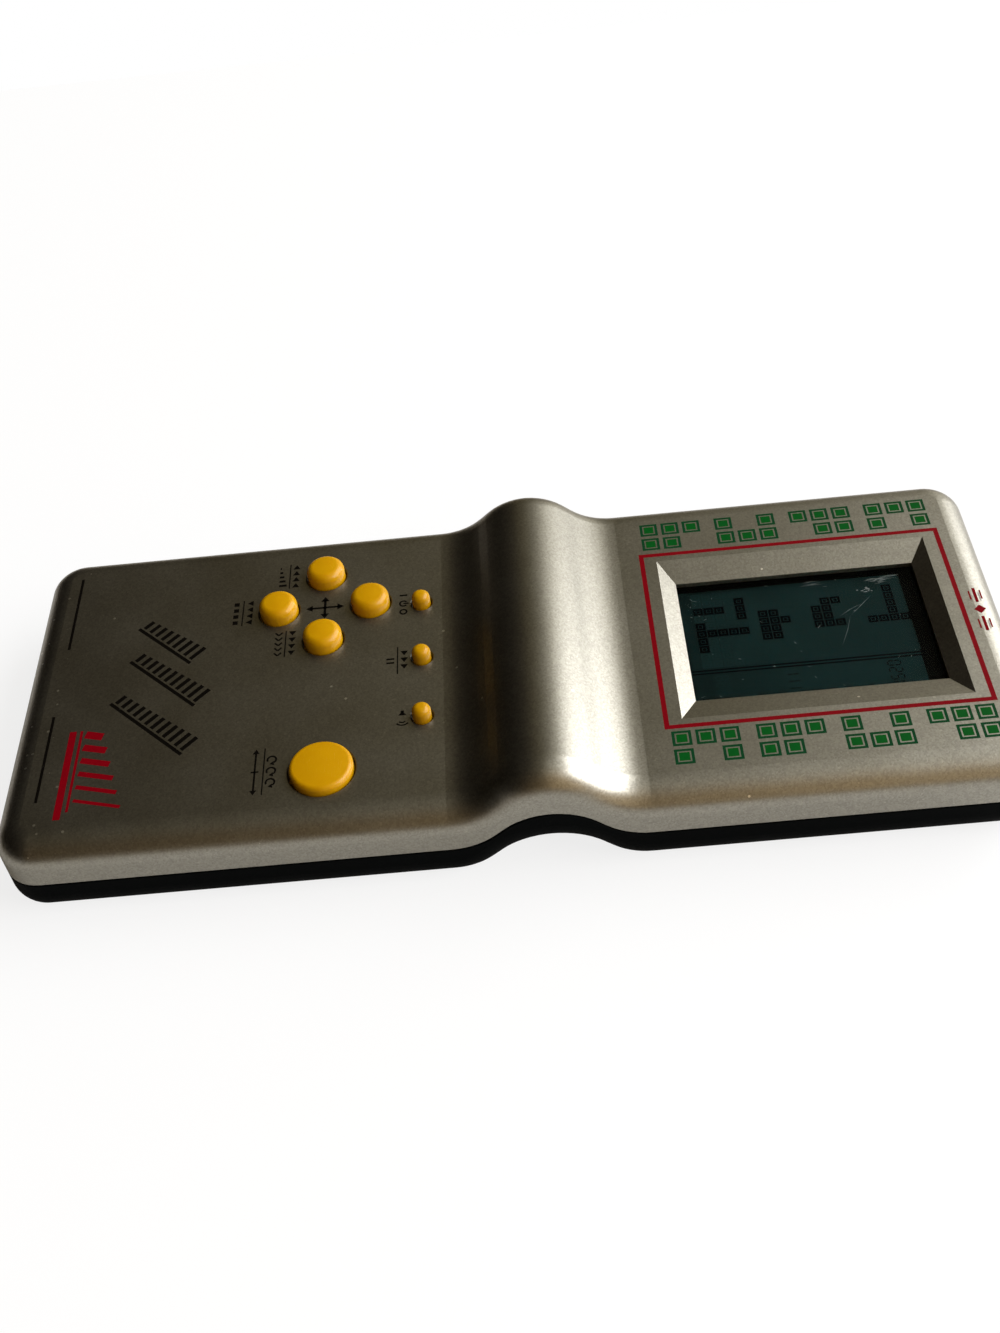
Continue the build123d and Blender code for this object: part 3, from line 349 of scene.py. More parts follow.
def silver_lacquer():
    """Metallic lacquer sprayed on ABS: a satin sheen with fine sparkle and a few pale chips."""
    paint = bpy.context.scene.console_paint
    made, tree, shader, place = new_material("satin_silver_lacquer_on_abs")
    silver = list(paint.silver) + [1.0]
    # Real flakes are a tenth of this size; these are as coarse as a render needs to show them
    flakes = add_node(tree, "ShaderNodeTexVoronoi", {
        "Vector": place, "Scale": per_length(paint.flake),
    })
    shade = add_node(tree, "ShaderNodeSeparateColor", {"Color": flakes.outputs["Color"]})
    flaked = add_node(tree, "ShaderNodeMix", {
        "Factor": shade.outputs["Red"], "A": scaled(silver, 0.86), "B": scaled(silver, 1.14),
    }, data_type="RGBA")
    glint = add_node(tree, "ShaderNodeMapRange", {
        "Value": shade.outputs["Blue"], "From Min": 0.95, "From Max": 0.99,
        "To Min": 0.0, "To Max": 0.14,
    })
    sparkling = add_node(tree, "ShaderNodeMix", {
        "Factor": glint, "A": flaked, "B": colour("#EDE8DA"),
    }, data_type="RGBA")
    rubs = hairlines(tree, place, 0.35 * MM, 9 * MM, math.radians(24), 0.42)
    rub_strength = add_node(tree, "ShaderNodeMath", {0: rubs, 1: 0.12}, operation="MULTIPLY")
    rubbed = add_node(tree, "ShaderNodeMix", {
        "Factor": rub_strength, "A": sparkling, "B": colour("#D2CABA"),
    }, data_type="RGBA")
    # Chips gather along the end that rests in the hand
    chips = add_node(tree, "ShaderNodeTexVoronoi", {
        "Vector": place, "Scale": per_length(1.7 * MM),
    })
    chance = add_node(tree, "ShaderNodeSeparateColor", {"Color": chips.outputs["Color"]})
    parts = add_node(tree, "ShaderNodeSeparateXYZ", {"Vector": place})
    near_end = add_node(tree, "ShaderNodeMapRange", {
        "Value": parts.outputs["Y"], "From Min": CASE_LOW.y + 16 * MM, "From Max": CASE_LOW.y,
        "To Min": 0.0, "To Max": 0.3,
    })
    odds = add_node(tree, "ShaderNodeMath", {
        0: chance.outputs["Red"], 1: near_end,
    }, operation="ADD")
    chosen = add_node(tree, "ShaderNodeMath", {0: odds, 1: 0.985}, operation="GREATER_THAN")
    spot = add_node(tree, "ShaderNodeMath", {
        0: chips.outputs["Distance"], 1: 0.16,
    }, operation="LESS_THAN")
    chipped = add_node(tree, "ShaderNodeMath", {0: chosen, 1: spot}, operation="MULTIPLY")
    finished = add_node(tree, "ShaderNodeMix", {
        "Factor": chipped, "A": rubbed, "B": colour("#EFECE2"),
    }, data_type="RGBA")
    clouds = add_node(tree, "ShaderNodeTexNoise", {
        "Vector": place, "Scale": per_length(14 * MM), "Detail": 3.0,
    })
    uneven = add_node(tree, "ShaderNodeMapRange", {
        "Value": clouds, "To Min": paint.silver_roughness - 0.05,
        "To Max": paint.silver_roughness + 0.05,
    })
    set_inputs(tree, shader, {
        "Base Color": finished,
        "Metallic": 1.0,
        "Roughness": uneven,
        "Normal": grain_bump(tree, place, 0.35 * MM, 0.007 * MM),
    })
    return made


def black_abs():
    """Black ABS from a spark-eroded mould: a fine even grain that keeps the sheen low."""
    plastic = bpy.context.scene.console_plastic
    made, tree, shader, place = new_material("spark_eroded_black_abs")
    black = list(plastic.black) + [1.0]
    clouds = add_node(tree, "ShaderNodeTexNoise", {
        "Vector": place, "Scale": per_length(20 * MM), "Detail": 4.0,
    })
    dust = add_node(tree, "ShaderNodeMapRange", {"Value": clouds, "To Min": 0.0, "To Max": 0.02})
    dusty = add_node(tree, "ShaderNodeMix", {
        "Factor": dust, "A": black, "B": colour("#3A3B3A"),
    }, data_type="RGBA")
    rubs = hairlines(tree, place, 0.4 * MM, 12 * MM, math.radians(-12), 0.4)
    rub_strength = add_node(tree, "ShaderNodeMath", {0: rubs, 1: 0.06}, operation="MULTIPLY")
    rubbed = add_node(tree, "ShaderNodeMix", {
        "Factor": rub_strength, "A": dusty, "B": colour("#3E3F3E"),
    }, data_type="RGBA")
    uneven = add_node(tree, "ShaderNodeMapRange", {"Value": clouds, "To Min": 0.42, "To Max": 0.56})
    set_inputs(tree, shader, {
        "Base Color": rubbed,
        "Roughness": uneven,
        "Specular IOR Level": 0.02,
        "Normal": grain_bump(tree, place, plastic.grain, 0.012 * MM),
    })
    return made


def yellow_keycap():
    """Amber yellow polystyrene from a polished mould: deep colour, a clear gloss and fine rubs."""
    plastic = bpy.context.scene.console_plastic
    made, tree, shader, place = new_material("polished_yellow_polystyrene")
    yellow = list(plastic.yellow) + [1.0]
    deeper = [part * share for part, share in zip(yellow, (0.9, 0.84, 0.6, 1.0))]
    _, shaded = mottle(tree, place, 3 * MM, 3.0, deeper, yellow)
    # Painted shade in reflections: glossy rays see the keys at 0.3 of their colour, so the satin
    # lacquer round a key and on the hump mirrors them dark, like their shaded foot rather than
    # their lit top
    mirrored = add_node(tree, "ShaderNodeLightPath").outputs["Is Glossy Ray"]
    seen = add_node(tree, "ShaderNodeMix", {
        "Factor": mirrored, "A": shaded, "B": scaled(yellow, 0.3),
    }, data_type="RGBA")
    rubs = hairlines(tree, place, 0.25 * MM, 4 * MM, math.radians(40), 0.45)
    dulled = add_node(tree, "ShaderNodeMapRange", {"Value": rubs, "To Min": 0.24, "To Max": 0.42})
    set_inputs(tree, shader, {
        "Base Color": seen,
        "Roughness": dulled,
        "Specular IOR Level": 0.3,
        "Subsurface Weight": 0.1,
        "Subsurface Radius": (1.0, 0.5, 0.1),
        "Subsurface Scale": 0.8 * MM,
        "Normal": grain_bump(tree, place, 1.6 * MM, 0.004 * MM),
    })
    return made


def clear_lens():
    """Clear acrylic pane, moulded and long in use: faint rubs blur what lies behind it."""
    made, tree, shader, place = new_material("worn_clear_acrylic")
    first = hairlines(tree, place, 0.9 * MM, 9 * MM, math.radians(35), 0.4)
    second = hairlines(tree, place, 1.1 * MM, 6 * MM, math.radians(-50), 0.35)
    rubs = add_node(tree, "ShaderNodeMath", {0: first, 1: second}, operation="MAXIMUM")
    dulled = add_node(tree, "ShaderNodeMapRange", {"Value": rubs, "To Min": 0.0, "To Max": 0.12})
    set_inputs(tree, shader, {
        "Base Color": colour("#E4ECEA"),
        "Roughness": dulled,
        "IOR": 1.1,
        "Transmission Weight": 1.0,
        "Normal": grain_bump(tree, place, 4 * MM, 0.002 * MM, 0.0),
    })
    return made


def lens_marks():
    """Bare scratched acrylic: the torn edges of a scratch scatter white light."""
    made, tree, shader, place = new_material("torn_acrylic_edges")
    _, broken = mottle(tree, place, 0.7 * MM, 2.0, colour("#1C2625"), colour("#8E9A97"))
    set_inputs(tree, shader, {
        "Base Color": broken,
        "Roughness": 0.6,
        "Normal": grain_bump(tree, place, 0.1 * MM, 0.01 * MM),
    })
    return made


def display_film():
    """Polariser film over a reflective display: dark green-grey with a slight sheen."""
    display = bpy.context.scene.console_display
    made, tree, shader, place = new_material("polariser_film_over_display")
    film = list(display.film) + [1.0]
    _, mottled = mottle(tree, place, 12 * MM, 3.0, scaled(film, 0.65), scaled(film, 1.3))
    # Painted shade: the film's colour darkens towards the hump, for the liquid crystal seen darker
    # at this slant
    parts = add_node(tree, "ShaderNodeSeparateXYZ", {"Vector": place})
    painted_shade_towards_hump = add_node(tree, "ShaderNodeMapRange", {
        "Value": parts.outputs["Y"], "From Min": SCREEN.y - 20 * MM, "From Max": SCREEN.y + 5 * MM,
        "To Min": 0.45, "To Max": 0.0,
    })
    darker = add_node(tree, "ShaderNodeMix", {
        "Factor": painted_shade_towards_hump, "A": mottled, "B": scaled(film, 0.1),
    }, data_type="RGBA")
    set_inputs(tree, shader, {
        "Base Color": darker,
        "Roughness": 0.35,
        "Specular IOR Level": 0.02,
        "Normal": grain_bump(tree, place, 0.5 * MM, 0.001 * MM),
    })
    return made


def cell_ink(name, ink):
    """The dark of a display cell, with the film's own sheen."""
    made, tree, shader, place = new_material(name)
    base = list(ink) + [1.0]
    _, mottled = mottle(tree, place, 5 * MM, 2.0, scaled(base, 0.8), scaled(base, 1.25))
    set_inputs(tree, shader, {
        "Base Color": mottled, "Roughness": 0.35, "Specular IOR Level": 0.02,
    })
    return made


def screen_ink(name, ink):
    """Screen-printed ink: a thin satin film, uneven over the lacquer, with small worn spots."""
    paint = bpy.context.scene.console_paint
    made, tree, shader, place = new_material(name)
    base = list(ink) + [1.0]
    wear = add_node(tree, "ShaderNodeTexNoise", {
        "Vector": place, "Scale": per_length(0.7 * MM), "Detail": 4.0, "Roughness": 0.7,
    })
    uneven = add_node(tree, "ShaderNodeMix", {
        "Factor": wear, "A": scaled(base, 0.75), "B": scaled(base, 1.3),
    }, data_type="RGBA")
    gone = add_node(tree, "ShaderNodeMapRange", {
        "Value": wear, "From Min": 0.72, "From Max": 0.76,
    }, interpolation_type="SMOOTHSTEP")
    worn = add_node(tree, "ShaderNodeMix", {
        "Factor": gone, "A": uneven, "B": scaled(list(paint.silver), 0.6),
    }, data_type="RGBA")
    satin = add_node(tree, "ShaderNodeMapRange", {"Value": wear, "To Min": 0.45, "To Max": 0.55})
    set_inputs(tree, shader, {
        "Base Color": worn,
        "Roughness": satin,
        "Specular IOR Level": 0.05,
        "Normal": grain_bump(tree, place, 0.2 * MM, 0.004 * MM),
    })
    return made


def plain_finish(name, code, roughness, metallic=0.0, grain=0.3 * MM):
    """A finish with soft shading of its colour and a fine grain, for the pieces inside."""
    made, tree, shader, place = new_material(name)
    base = colour(code)
    clouds, mottled = mottle(tree, place, 10 * grain, 3.0, scaled(base, 0.85), base)
    uneven = add_node(tree, "ShaderNodeMapRange", {
        "Value": clouds, "To Min": roughness - 0.06, "To Max": roughness + 0.06,
    })
    set_inputs(tree, shader, {
        "Base Color": mottled,
        "Metallic": metallic,
        "Roughness": uneven,
        "Normal": grain_bump(tree, place, grain, 0.004 * MM),
    })
    return made


def give(node, material):
    """Gives a CAD node its material."""
    slots = frame["nodes"][node].data.materials
    slots.clear()
    slots.append(material)


def link_mesh(name, mesh, material):
    """A finished piece at the origin that rides on the case."""
    piece = bpy.data.objects.new(name, mesh)
    bpy.context.scene.collection.objects.link(piece)
    mesh.materials.clear()
    mesh.materials.append(material)
    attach(piece, frame["root_body"])
    return piece


def prisms(name, outlines, level, depth):
    """A mesh of flat closed shapes: outlines of (x, y) points, raised from a level by a depth."""
    mesh = bpy.data.meshes.new(name)
    shapes = bmesh.new()
    for outline in outlines:
        low = [shapes.verts.new((x, y, level)) for x, y in outline]
        high = [shapes.verts.new((x, y, level + depth)) for x, y in outline]
        shapes.faces.new(high)
        shapes.faces.new(list(reversed(low)))
        for index, corner in enumerate(low):
            after = (index + 1) % len(low)
            shapes.faces.new((corner, low[after], high[after], high[index]))
    bmesh.ops.recalc_face_normals(shapes, faces=shapes.faces)
    shapes.to_mesh(mesh)
    shapes.free()
    return mesh


def bar(start, end, width):
    """The outline of a straight stroke."""
    start, end = Vector(start), Vector(end)
    along = (end - start).normalized()
    side = Vector((-along.y, along.x)) * width / 2
    return [tuple(point) for point in (start - side, end - side, end + side, start + side)]


def arc_band(centre, radius, width, first, last, steps=18):
    """The outline of a stroke along part of a circle, between two angles in degrees."""
    turns = [math.radians(first + (last - first) * step / steps) for step in range(steps + 1)]

    def rim(reach, order):
        return [
            (centre[0] + reach * math.cos(turn), centre[1] + reach * math.sin(turn))
            for turn in order
        ]

    return rim(radius + width / 2, turns) + rim(radius - width / 2, reversed(turns))


def arrow_head(tip, heading, length, width):
    """The outline of a solid arrow head that points along a heading in degrees."""
    turn = math.radians(heading)
    along = Vector((math.cos(turn), math.sin(turn)))
    side = Vector((-along.y, along.x)) * width / 2
    foot = Vector(tip) - along * length
    return [tuple(point) for point in (Vector(tip), foot + side, foot - side)]


def rectangle(x_low, x_high, y_low, y_high):
    """The outline of a rectangle."""
    return [(x_low, y_low), (x_high, y_low), (x_high, y_high), (x_low, y_high)]


def moved(outlines, place):
    """Outlines drawn round the origin in millimetres, taken to a place in metres."""
    return [[(place[0] + x * MM, place[1] + y * MM) for x, y in outline] for outline in outlines]


def square_tree(name, hollow):
    """A node tree that sets a flat square on each point: a ring where hollow, else solid."""
    tree = bpy.data.node_groups.new(name, "GeometryNodeTree")
    for label, kind in (
        ("Points", "Geometry"), ("Size", "Float"), ("Line", "Float"), ("Depth", "Float"),
        ("Finish", "Material"),
    ):
        tree.interface.new_socket(label, in_out="INPUT", socket_type="NodeSocket" + kind)
    tree.interface.new_socket("Squares", in_out="OUTPUT", socket_type="NodeSocketGeometry")
    given = add_node(tree, "NodeGroupInput").outputs
    if hollow:
        side = add_node(tree, "ShaderNodeMath", {
            0: given["Size"], 1: given["Line"],
        }, operation="SUBTRACT")
        path = add_node(tree, "GeometryNodeCurvePrimitiveQuadrilateral", {
            "Width": side, "Height": side,
        })
        # At a square corner the section lies along the diagonal, so it is wider by that share
        mitred = add_node(tree, "ShaderNodeMath", {
            0: given["Line"], 1: math.sqrt(2),
        }, operation="MULTIPLY")
        section = add_node(tree, "GeometryNodeCurvePrimitiveQuadrilateral", {
            "Width": mitred, "Height": given["Depth"],
        })
        shape = add_node(tree, "GeometryNodeCurveToMesh", {
            "Curve": path, "Profile Curve": section,
        })
    else:
        size = add_node(tree, "ShaderNodeCombineXYZ", {
            "X": given["Size"], "Y": given["Size"], "Z": given["Depth"],
        })
        shape = add_node(tree, "GeometryNodeMeshCube", {"Size": size})
    placed = add_node(tree, "GeometryNodeInstanceOnPoints", {
        "Points": given["Points"], "Instance": shape,
    })
    real = add_node(tree, "GeometryNodeRealizeInstances", {"Geometry": placed})
    finished = add_node(tree, "GeometryNodeSetMaterial", {
        "Geometry": real, "Material": given["Finish"],
    })
    add_node(tree, "NodeGroupOutput", {"Squares": finished})
    return tree


def squares_at(name, points, hollow, size, line, depth, material):
    """Framed or solid squares on each point, kept as a plain mesh on the case."""
    cloud = bpy.data.meshes.new(name)
    cloud.from_pydata([tuple(point) for point in points], [], [])
    piece = bpy.data.objects.new(name, cloud)
    bpy.context.scene.collection.objects.link(piece)
    modifier = piece.modifiers.new("squares", "NODES")
    tree = square_tree(name + "_tree", hollow)
    modifier.node_group = tree
    wanted = {"Size": size, "Line": line, "Depth": depth, "Finish": material}
    for item in tree.interface.items_tree:
        if item.in_out == "INPUT" and item.name in wanted:
            modifier[item.identifier] = wanted[item.name]
    shown = piece.evaluated_get(bpy.context.evaluated_depsgraph_get())
    mesh = bpy.data.meshes.new_from_object(shown)
    piece.modifiers.clear()
    piece.data = mesh
    tidy = bmesh.new()
    tidy.from_mesh(mesh)
    bmesh.ops.remove_doubles(tidy, verts=tidy.verts, dist=depth / 10)
    bmesh.ops.recalc_face_normals(tidy, faces=tidy.faces)
    for face in tidy.faces:
        face.smooth = False
    tidy.to_mesh(mesh)
    tidy.free()
    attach(piece, frame["root_body"])
    return piece


class CONSOLE_OT_case(bpy.types.Operator):
    """Finish the silver half, the black half and the battery door"""

    bl_idname = "console.case"
    bl_label = "Case finishes"

    def execute(self, context):
        give("front_cover", silver_lacquer())
        black = black_abs()
        give("rear_cover", black)
        give("battery_door", black)
        return {"FINISHED"}


class CONSOLE_OT_keys(bpy.types.Operator):
    """Finish the eight keys"""

    bl_idname = "console.keys"
    bl_label = "Keys"

    def execute(self, context):
        cap = yellow_keycap()
        for key in KEYS:
            give(key, cap)
        return {"FINISHED"}


class CONSOLE_OT_frame_print(bpy.types.Operator):
    """Print the red frame line round the display and the red stripes at both ends"""

    bl_idname = "console.frame_print"
    bl_label = "Red prints"

    def execute(self, context):
        paint = context.scene.console_paint
        ink = screen_ink("red_screen_ink", paint.red)
        outlines = moved(red_frame(), SCREEN)
        outlines += moved(red_corner_stripes(), (20.3 * MM, -75.2 * MM))
        outlines += moved(red_end_line(), (0.3 * MM, 87.0 * MM))
        mesh = prisms("red_print", outlines, FACE_LEVEL, paint.ink_depth)
        link_mesh("red_print", mesh, ink)
        return {"FINISHED"}


def red_frame():
    """The four sides of the line round the display's recess, in millimetres."""
    line = 0.9
    reach_x, reach_y = 22.9, 28.85
    sides = []
    for side in (-1, 1):
        x, y = side * (reach_x - line / 2), side * (reach_y - line / 2)
        sides.append(bar((x, -reach_y), (x, reach_y), line))
        sides.append(bar((line - reach_x, y), (reach_x - line, y), line))
    return sides


def red_corner_stripes():
    """Slanted bars that shorten step by step over a broad foot line, in millimetres."""
    lean = Vector((0.26, 0.966))
    shapes = [bar((-9.6, -4.6), (11.0, -4.6), 1.3), bar((-9.6, -3.0), (9.4, -3.0), 0.5)]
    for index in range(6):
        foot = Vector((-8.6 + 3.1 * index, -2.2))
        shapes.append(bar(foot, foot + lean * (3.4 + 1.1 * index), 1.7 - 0.2 * index))
    return shapes


def red_end_line():
    """A thin line on each side of a small rhomb, in millimetres."""
    shapes = [[(1.1, 0), (0, 1.1), (-1.1, 0), (0, -1.1)]]
    for side in (-1, 1):
        shapes.append(bar((side * 1.9, 0), (side * 5.6, 0), 0.55))
        shapes.append(bar((side * 2.6, 1.0), (side * 4.9, 1.0), 0.3))
        shapes.append(bar((side * 2.6, -1.0), (side * 4.9, -1.0), 0.3))
    return shapes


class CONSOLE_OT_square_print(bpy.types.Operator):
    """Print the green framed squares along both sides of the display"""

    bl_idname = "console.square_print"
    bl_label = "Green squares"

    def execute(self, context):
        paint = context.scene.console_paint
        pitch = 4.18 * MM
        first = 29.4 * MM
        group_step = 14.7 * MM
        size, line, core_size = 3.42 * MM, 0.52 * MM, 1.86 * MM
        far_rows = (-29.9 * MM, -25.72 * MM)
        near_rows = (29.43 * MM, 25.25 * MM)
        depth = paint.ink_depth
        points = []
        for groups, places in ((FAR_GROUPS, far_rows), (NEAR_GROUPS, near_rows)):
            for number, rows in enumerate(groups):
                for row, x in zip(rows, places):
                    for column, mark in enumerate(row):
                        if mark == "x":
                            y = first + number * group_step + column * pitch
                            points.append((x, y, FACE_LEVEL + depth / 2))
        outline = screen_ink("dark_green_screen_ink", paint.dark_green)
        core = screen_ink("green_screen_ink", paint.green)
        squares_at("square_outlines", points, True, size, line, depth, outline)
        squares_at("square_cores", points, False, core_size, 0.0, depth, core)
        return {"FINISHED"}


class CONSOLE_OT_black_print(bpy.types.Operator):
    """Print the black lines, the cross of arrows, the slanted stripes and the key symbols"""

    bl_idname = "console.black_print"
    bl_label = "Black prints"

    def execute(self, context):
        paint = context.scene.console_paint
        ink = screen_ink("black_screen_ink", paint.black)
        line = 0.55
        end_lines = [
            bar((-31.0, -84.1), (-11.0, -84.0), line), bar((6.5, -84.1), (27.0, -84.1), line),
        ]
        outlines = moved(end_lines, (0, 0))
        outlines += moved(arrow_cross(), (LEFT_KEY + RIGHT_KEY) / 2)
        outlines += moved(slanted_stripes(), (0.9 * MM, -65.3 * MM))
        for key, shift, shapes in key_symbols():
            outlines += moved(shapes, key + Vector((*shift, 0)) * MM)
        mesh = prisms("black_print", outlines, FACE_LEVEL, paint.ink_depth)
        link_mesh("black_print", mesh, ink)
        return {"FINISHED"}


def arrow_cross():
    """Four thin arrows from one middle, in millimetres."""
    arms = {0: 3.0, 90: 3.7, 180: 3.0, 270: 3.7}
    shapes = [bar((-2.2, 0), (2.2, 0), 0.5), bar((0, -2.9), (0, 2.9), 0.5)]
    for heading, arm in arms.items():
        turn = math.radians(heading)
        shapes.append(arrow_head((arm * math.cos(turn), arm * math.sin(turn)), heading, 1.3, 1.7))
    return shapes


def slanted_stripes():
    """Three slanted rows, each a row of short strokes over a thin line, in millimetres."""
    turn = math.radians(46)
    along = Vector((math.cos(turn), math.sin(turn)))
    up = Vector((-along.y, along.x))
    line, stroke, pitch = 0.7, 0.85, 1.7
    least_height, growth = 2.2, 1.6
    shapes = []
    for x, y, strokes in ((-10.6, 0.0, 9), (-0.6, 0.6, 11), (10.6, -1.2, 12)):
        centre = Vector((x, y))
        reach = pitch * strokes / 2
        shapes.append(bar(centre - along * reach, centre + along * reach, line))
        for index in range(strokes):
            foot = centre + along * (pitch * (index + 0.5) - reach) + up * line
            height = least_height + growth * (index + 1) / strokes
            shapes.append(bar(foot, foot + up * height, stroke))
    return shapes


def row_of(marks, spacing, y):
    """Marks drawn round the origin, set out in a row along X round the middle."""
    first = -spacing * (len(marks) - 1) / 2
    outlines = []
    for index, mark in enumerate(marks):
        shift = first + index * spacing
        outlines += [[(x + shift, point_y + y) for x, point_y in part] for part in mark]
    return outlines


def key_symbols():
    """Each labelled key with the way to its label and the label's shapes, in millimetres."""
    rule = bar((-3.5, 0.05), (3.5, 0.05), 0.24)
    long_rule = bar((-5.4, 0.05), (5.4, 0.05), 0.24)
    block = [bar((-0.5, 0), (0.5, 0), 1.0)]
    chevron = [bar((-0.4, 0.7), (0.35, 0), 0.36), bar((0.35, 0), (-0.4, -0.7), 0.36)]
    upright = [bar((0, -0.75), (0, 0.75), 0.42)]
    ring = [arc_band((0, 0), 0.62, 0.36, start, start + 180, 8) for start in (0, 180)]
    steps = [[bar((0, -0.7), (0, -0.7 + 0.3 * height), 0.6)] for height in (1, 2, 3, 4, 5)]
    power = [arc_band((0, 0), 0.7, 0.36, -235, 55, 14), bar((0, 0), (0, 1.0), 0.36)]
    speaker = [bar((-0.9, 0), (-0.4, 0), 0.6), arrow_head((-0.75, 0), 180, 1.0, 1.5)]
    waves = [arc_band((-0.9, 0), radius, 0.3, -50, 50, 8) for radius in (0.7, 1.35)]
    turning = [arc_band((0, 0), 0.78, 0.36, 30, 300, 14), arrow_head((0.98, -0.38), 280, 0.8, 1.0)]
    both_ways = [
        bar((-4.2, 0), (4.2, 0), 0.36), arrow_head((5.3, 0), 0, 1.1, 1.3),
        arrow_head((-5.3, 0), 180, 1.1, 1.3), bar((0, -0.7), (0, 0.7), 0.34),
    ]

    def heads(heading, count=4):
        turn = math.radians(heading)
        tip = (0.55 * math.cos(turn), 0.55 * math.sin(turn))
        return row_of([[arrow_head(tip, heading, 1.2, 1.45)]] * count, 1.75, 1.3)

    return (
        (LEFT_KEY, (-1.0, -7.4), heads(180) + [rule] + row_of(steps, 1.25, -1.3)),
        (DOWN_KEY, (-0.5, -7.2), heads(270) + [rule] + row_of([block] * 4, 1.7, -1.3)),
        (RIGHT_KEY, (0.1, -7.3), heads(0) + [rule] + row_of([chevron] * 5, 1.35, -1.3)),
        (ROTATE_KEY, (-0.8, -10.4),
         row_of([turning] * 3, 2.6, 1.4) + [long_rule] + row_of([both_ways], 0, -1.5)),
        (ON_OFF_KEY, (-0.2, -3.5), row_of([upright, power, ring], 2.3, 0)),
        (START_KEY, (0.3, -4.6), heads(0, 3) + [rule] + row_of([upright] * 2, 1.0, -1.3)),
        (SOUND_KEY, (0.3, -3.6), row_of([speaker, waves], 2.2, 0)),
    )


class CONSOLE_OT_display(bpy.types.Operator):
    """Finish the lens, the glass and the film, and draw the display's cells and marks"""

    bl_idname = "console.display"
    bl_label = "Display"

    def execute(self, context):
        display = context.scene.console_display
        give("window_lens", clear_lens())
        give("lcd_polariser", display_film())
        glass = plain_finish("cut_float_glass_with_clear_tracks", "#6F8078", 0.12, grain=2 * MM)
        give("lcd_front_glass", glass)
        give("lcd_rear_glass", glass)
        give("lcd_reflector", plain_finish("rolled_aluminium_foil", "#A9ADAA", 0.35, 1.0))
        faint = cell_ink("display_cell_off", display.faint)
        dark = cell_ink("display_cell_on", display.dark)
        self.field(display, faint, dark)
        self.side_panel(display, faint, dark)
        self.surround(display)
        return {"FINISHED"}

    def field(self, display, faint, dark):
        """The field's framed cells, dark where a block stands."""
        depth = display.mark_depth
        pitch = display.cell_pitch
        on = {
            (column, row) for first, last, low, high in DARK_BLOCKS
            for column in range(first, last + 1) for row in range(low, high + 1)
        }
        every = {(column, row) for column in range(display.columns) for row in range(display.rows)}
        for name, cells, ink in (("cells_on", on, dark), ("cells_off", every - on, faint)):
            points = [
                (FIELD_LOW.x + pitch * (column + 0.5), FIELD_LOW.y + pitch * (row + 0.5),
                 FILM_HIGH.z + depth / 2)
                for column, row in sorted(cells)
            ]
            squares_at(name + "_frames", points, True, 0.9 * pitch, 0.22 * pitch, depth, ink)
            squares_at(name + "_cores", points, False, 0.3 * pitch, 0.0, depth, ink)

    def side_panel(self, display, faint, dark):
        """The double line beside the field, the counter's digits and a small grid."""
        depth = display.mark_depth
        pitch = display.cell_pitch
        edge = FIELD_LOW.x + pitch * (display.columns + 0.25)
        low, high = FIELD_LOW.y - pitch, FIELD_LOW.y + pitch * (display.rows + 0.4)
        line, gap = 0.34 * MM, 0.75 * MM
        lines = [bar((x, low), (x, high), line) for x in (edge, edge + gap)]
        mesh = prisms("display_lines", lines, FILM_HIGH.z, depth)
        link_mesh("display_lines", mesh, dark)
        # Three rows of digits, at these rows of the field: two counters, and one that is off
        first, digit_step = 2.2 * MM, 1.75 * MM
        dark_bars, faint_bars = [], []
        for number, digit in enumerate(COUNTER_DIGITS):
            for row, shown in ((17.2, digit), (8.0, "1"), (1.6, "")):
                place = (edge + first + digit_step * number, FIELD_LOW.y + pitch * row)
                lit = DIGIT_BARS.get(shown, "")
                for letter, outline in seven_bars(1.1, 2.3):
                    bars = dark_bars if letter in lit else faint_bars
                    bars.extend(moved([outline], place))
        for name, bars, ink in (("digits_on", dark_bars, dark), ("digits_off", faint_bars, faint)):
            link_mesh(name, prisms(name, bars, FILM_HIGH.z, depth), ink)
        cell_step, size, frame_line = 1.6 * MM, 1.3 * MM, 0.2 * MM
        grid_y = FIELD_LOW.y + 12.0 * pitch
        points = [
            (edge + first + cell_step * column, grid_y + cell_step * row, FILM_HIGH.z + depth / 2)
            for column in range(4) for row in range(4)
        ]
        squares_at("next_cells", points, True, size, frame_line, depth, faint)

    def surround(self, display):
        """The black border round the part of the film that shows a picture."""
        inner_x = 14.9 * MM
        inner_low, inner_high = FIELD_LOW.y - 1.6 * display.cell_pitch, 75.2 * MM
        strips = [
            rectangle(FILM_LOW.x, SCREEN.x - inner_x, FILM_LOW.y, FILM_HIGH.y),
            rectangle(SCREEN.x + inner_x, FILM_HIGH.x, FILM_LOW.y, FILM_HIGH.y),
            rectangle(SCREEN.x - inner_x, SCREEN.x + inner_x, inner_high, FILM_HIGH.y),
            rectangle(SCREEN.x - inner_x, SCREEN.x + inner_x, FILM_LOW.y, inner_low),
        ]
        border = cell_ink("printed_black_border", colour("#020303")[:3])
        mesh = prisms("display_surround", strips, FILM_HIGH.z, 0.75 * display.mark_depth)
        link_mesh("display_surround", mesh, border)


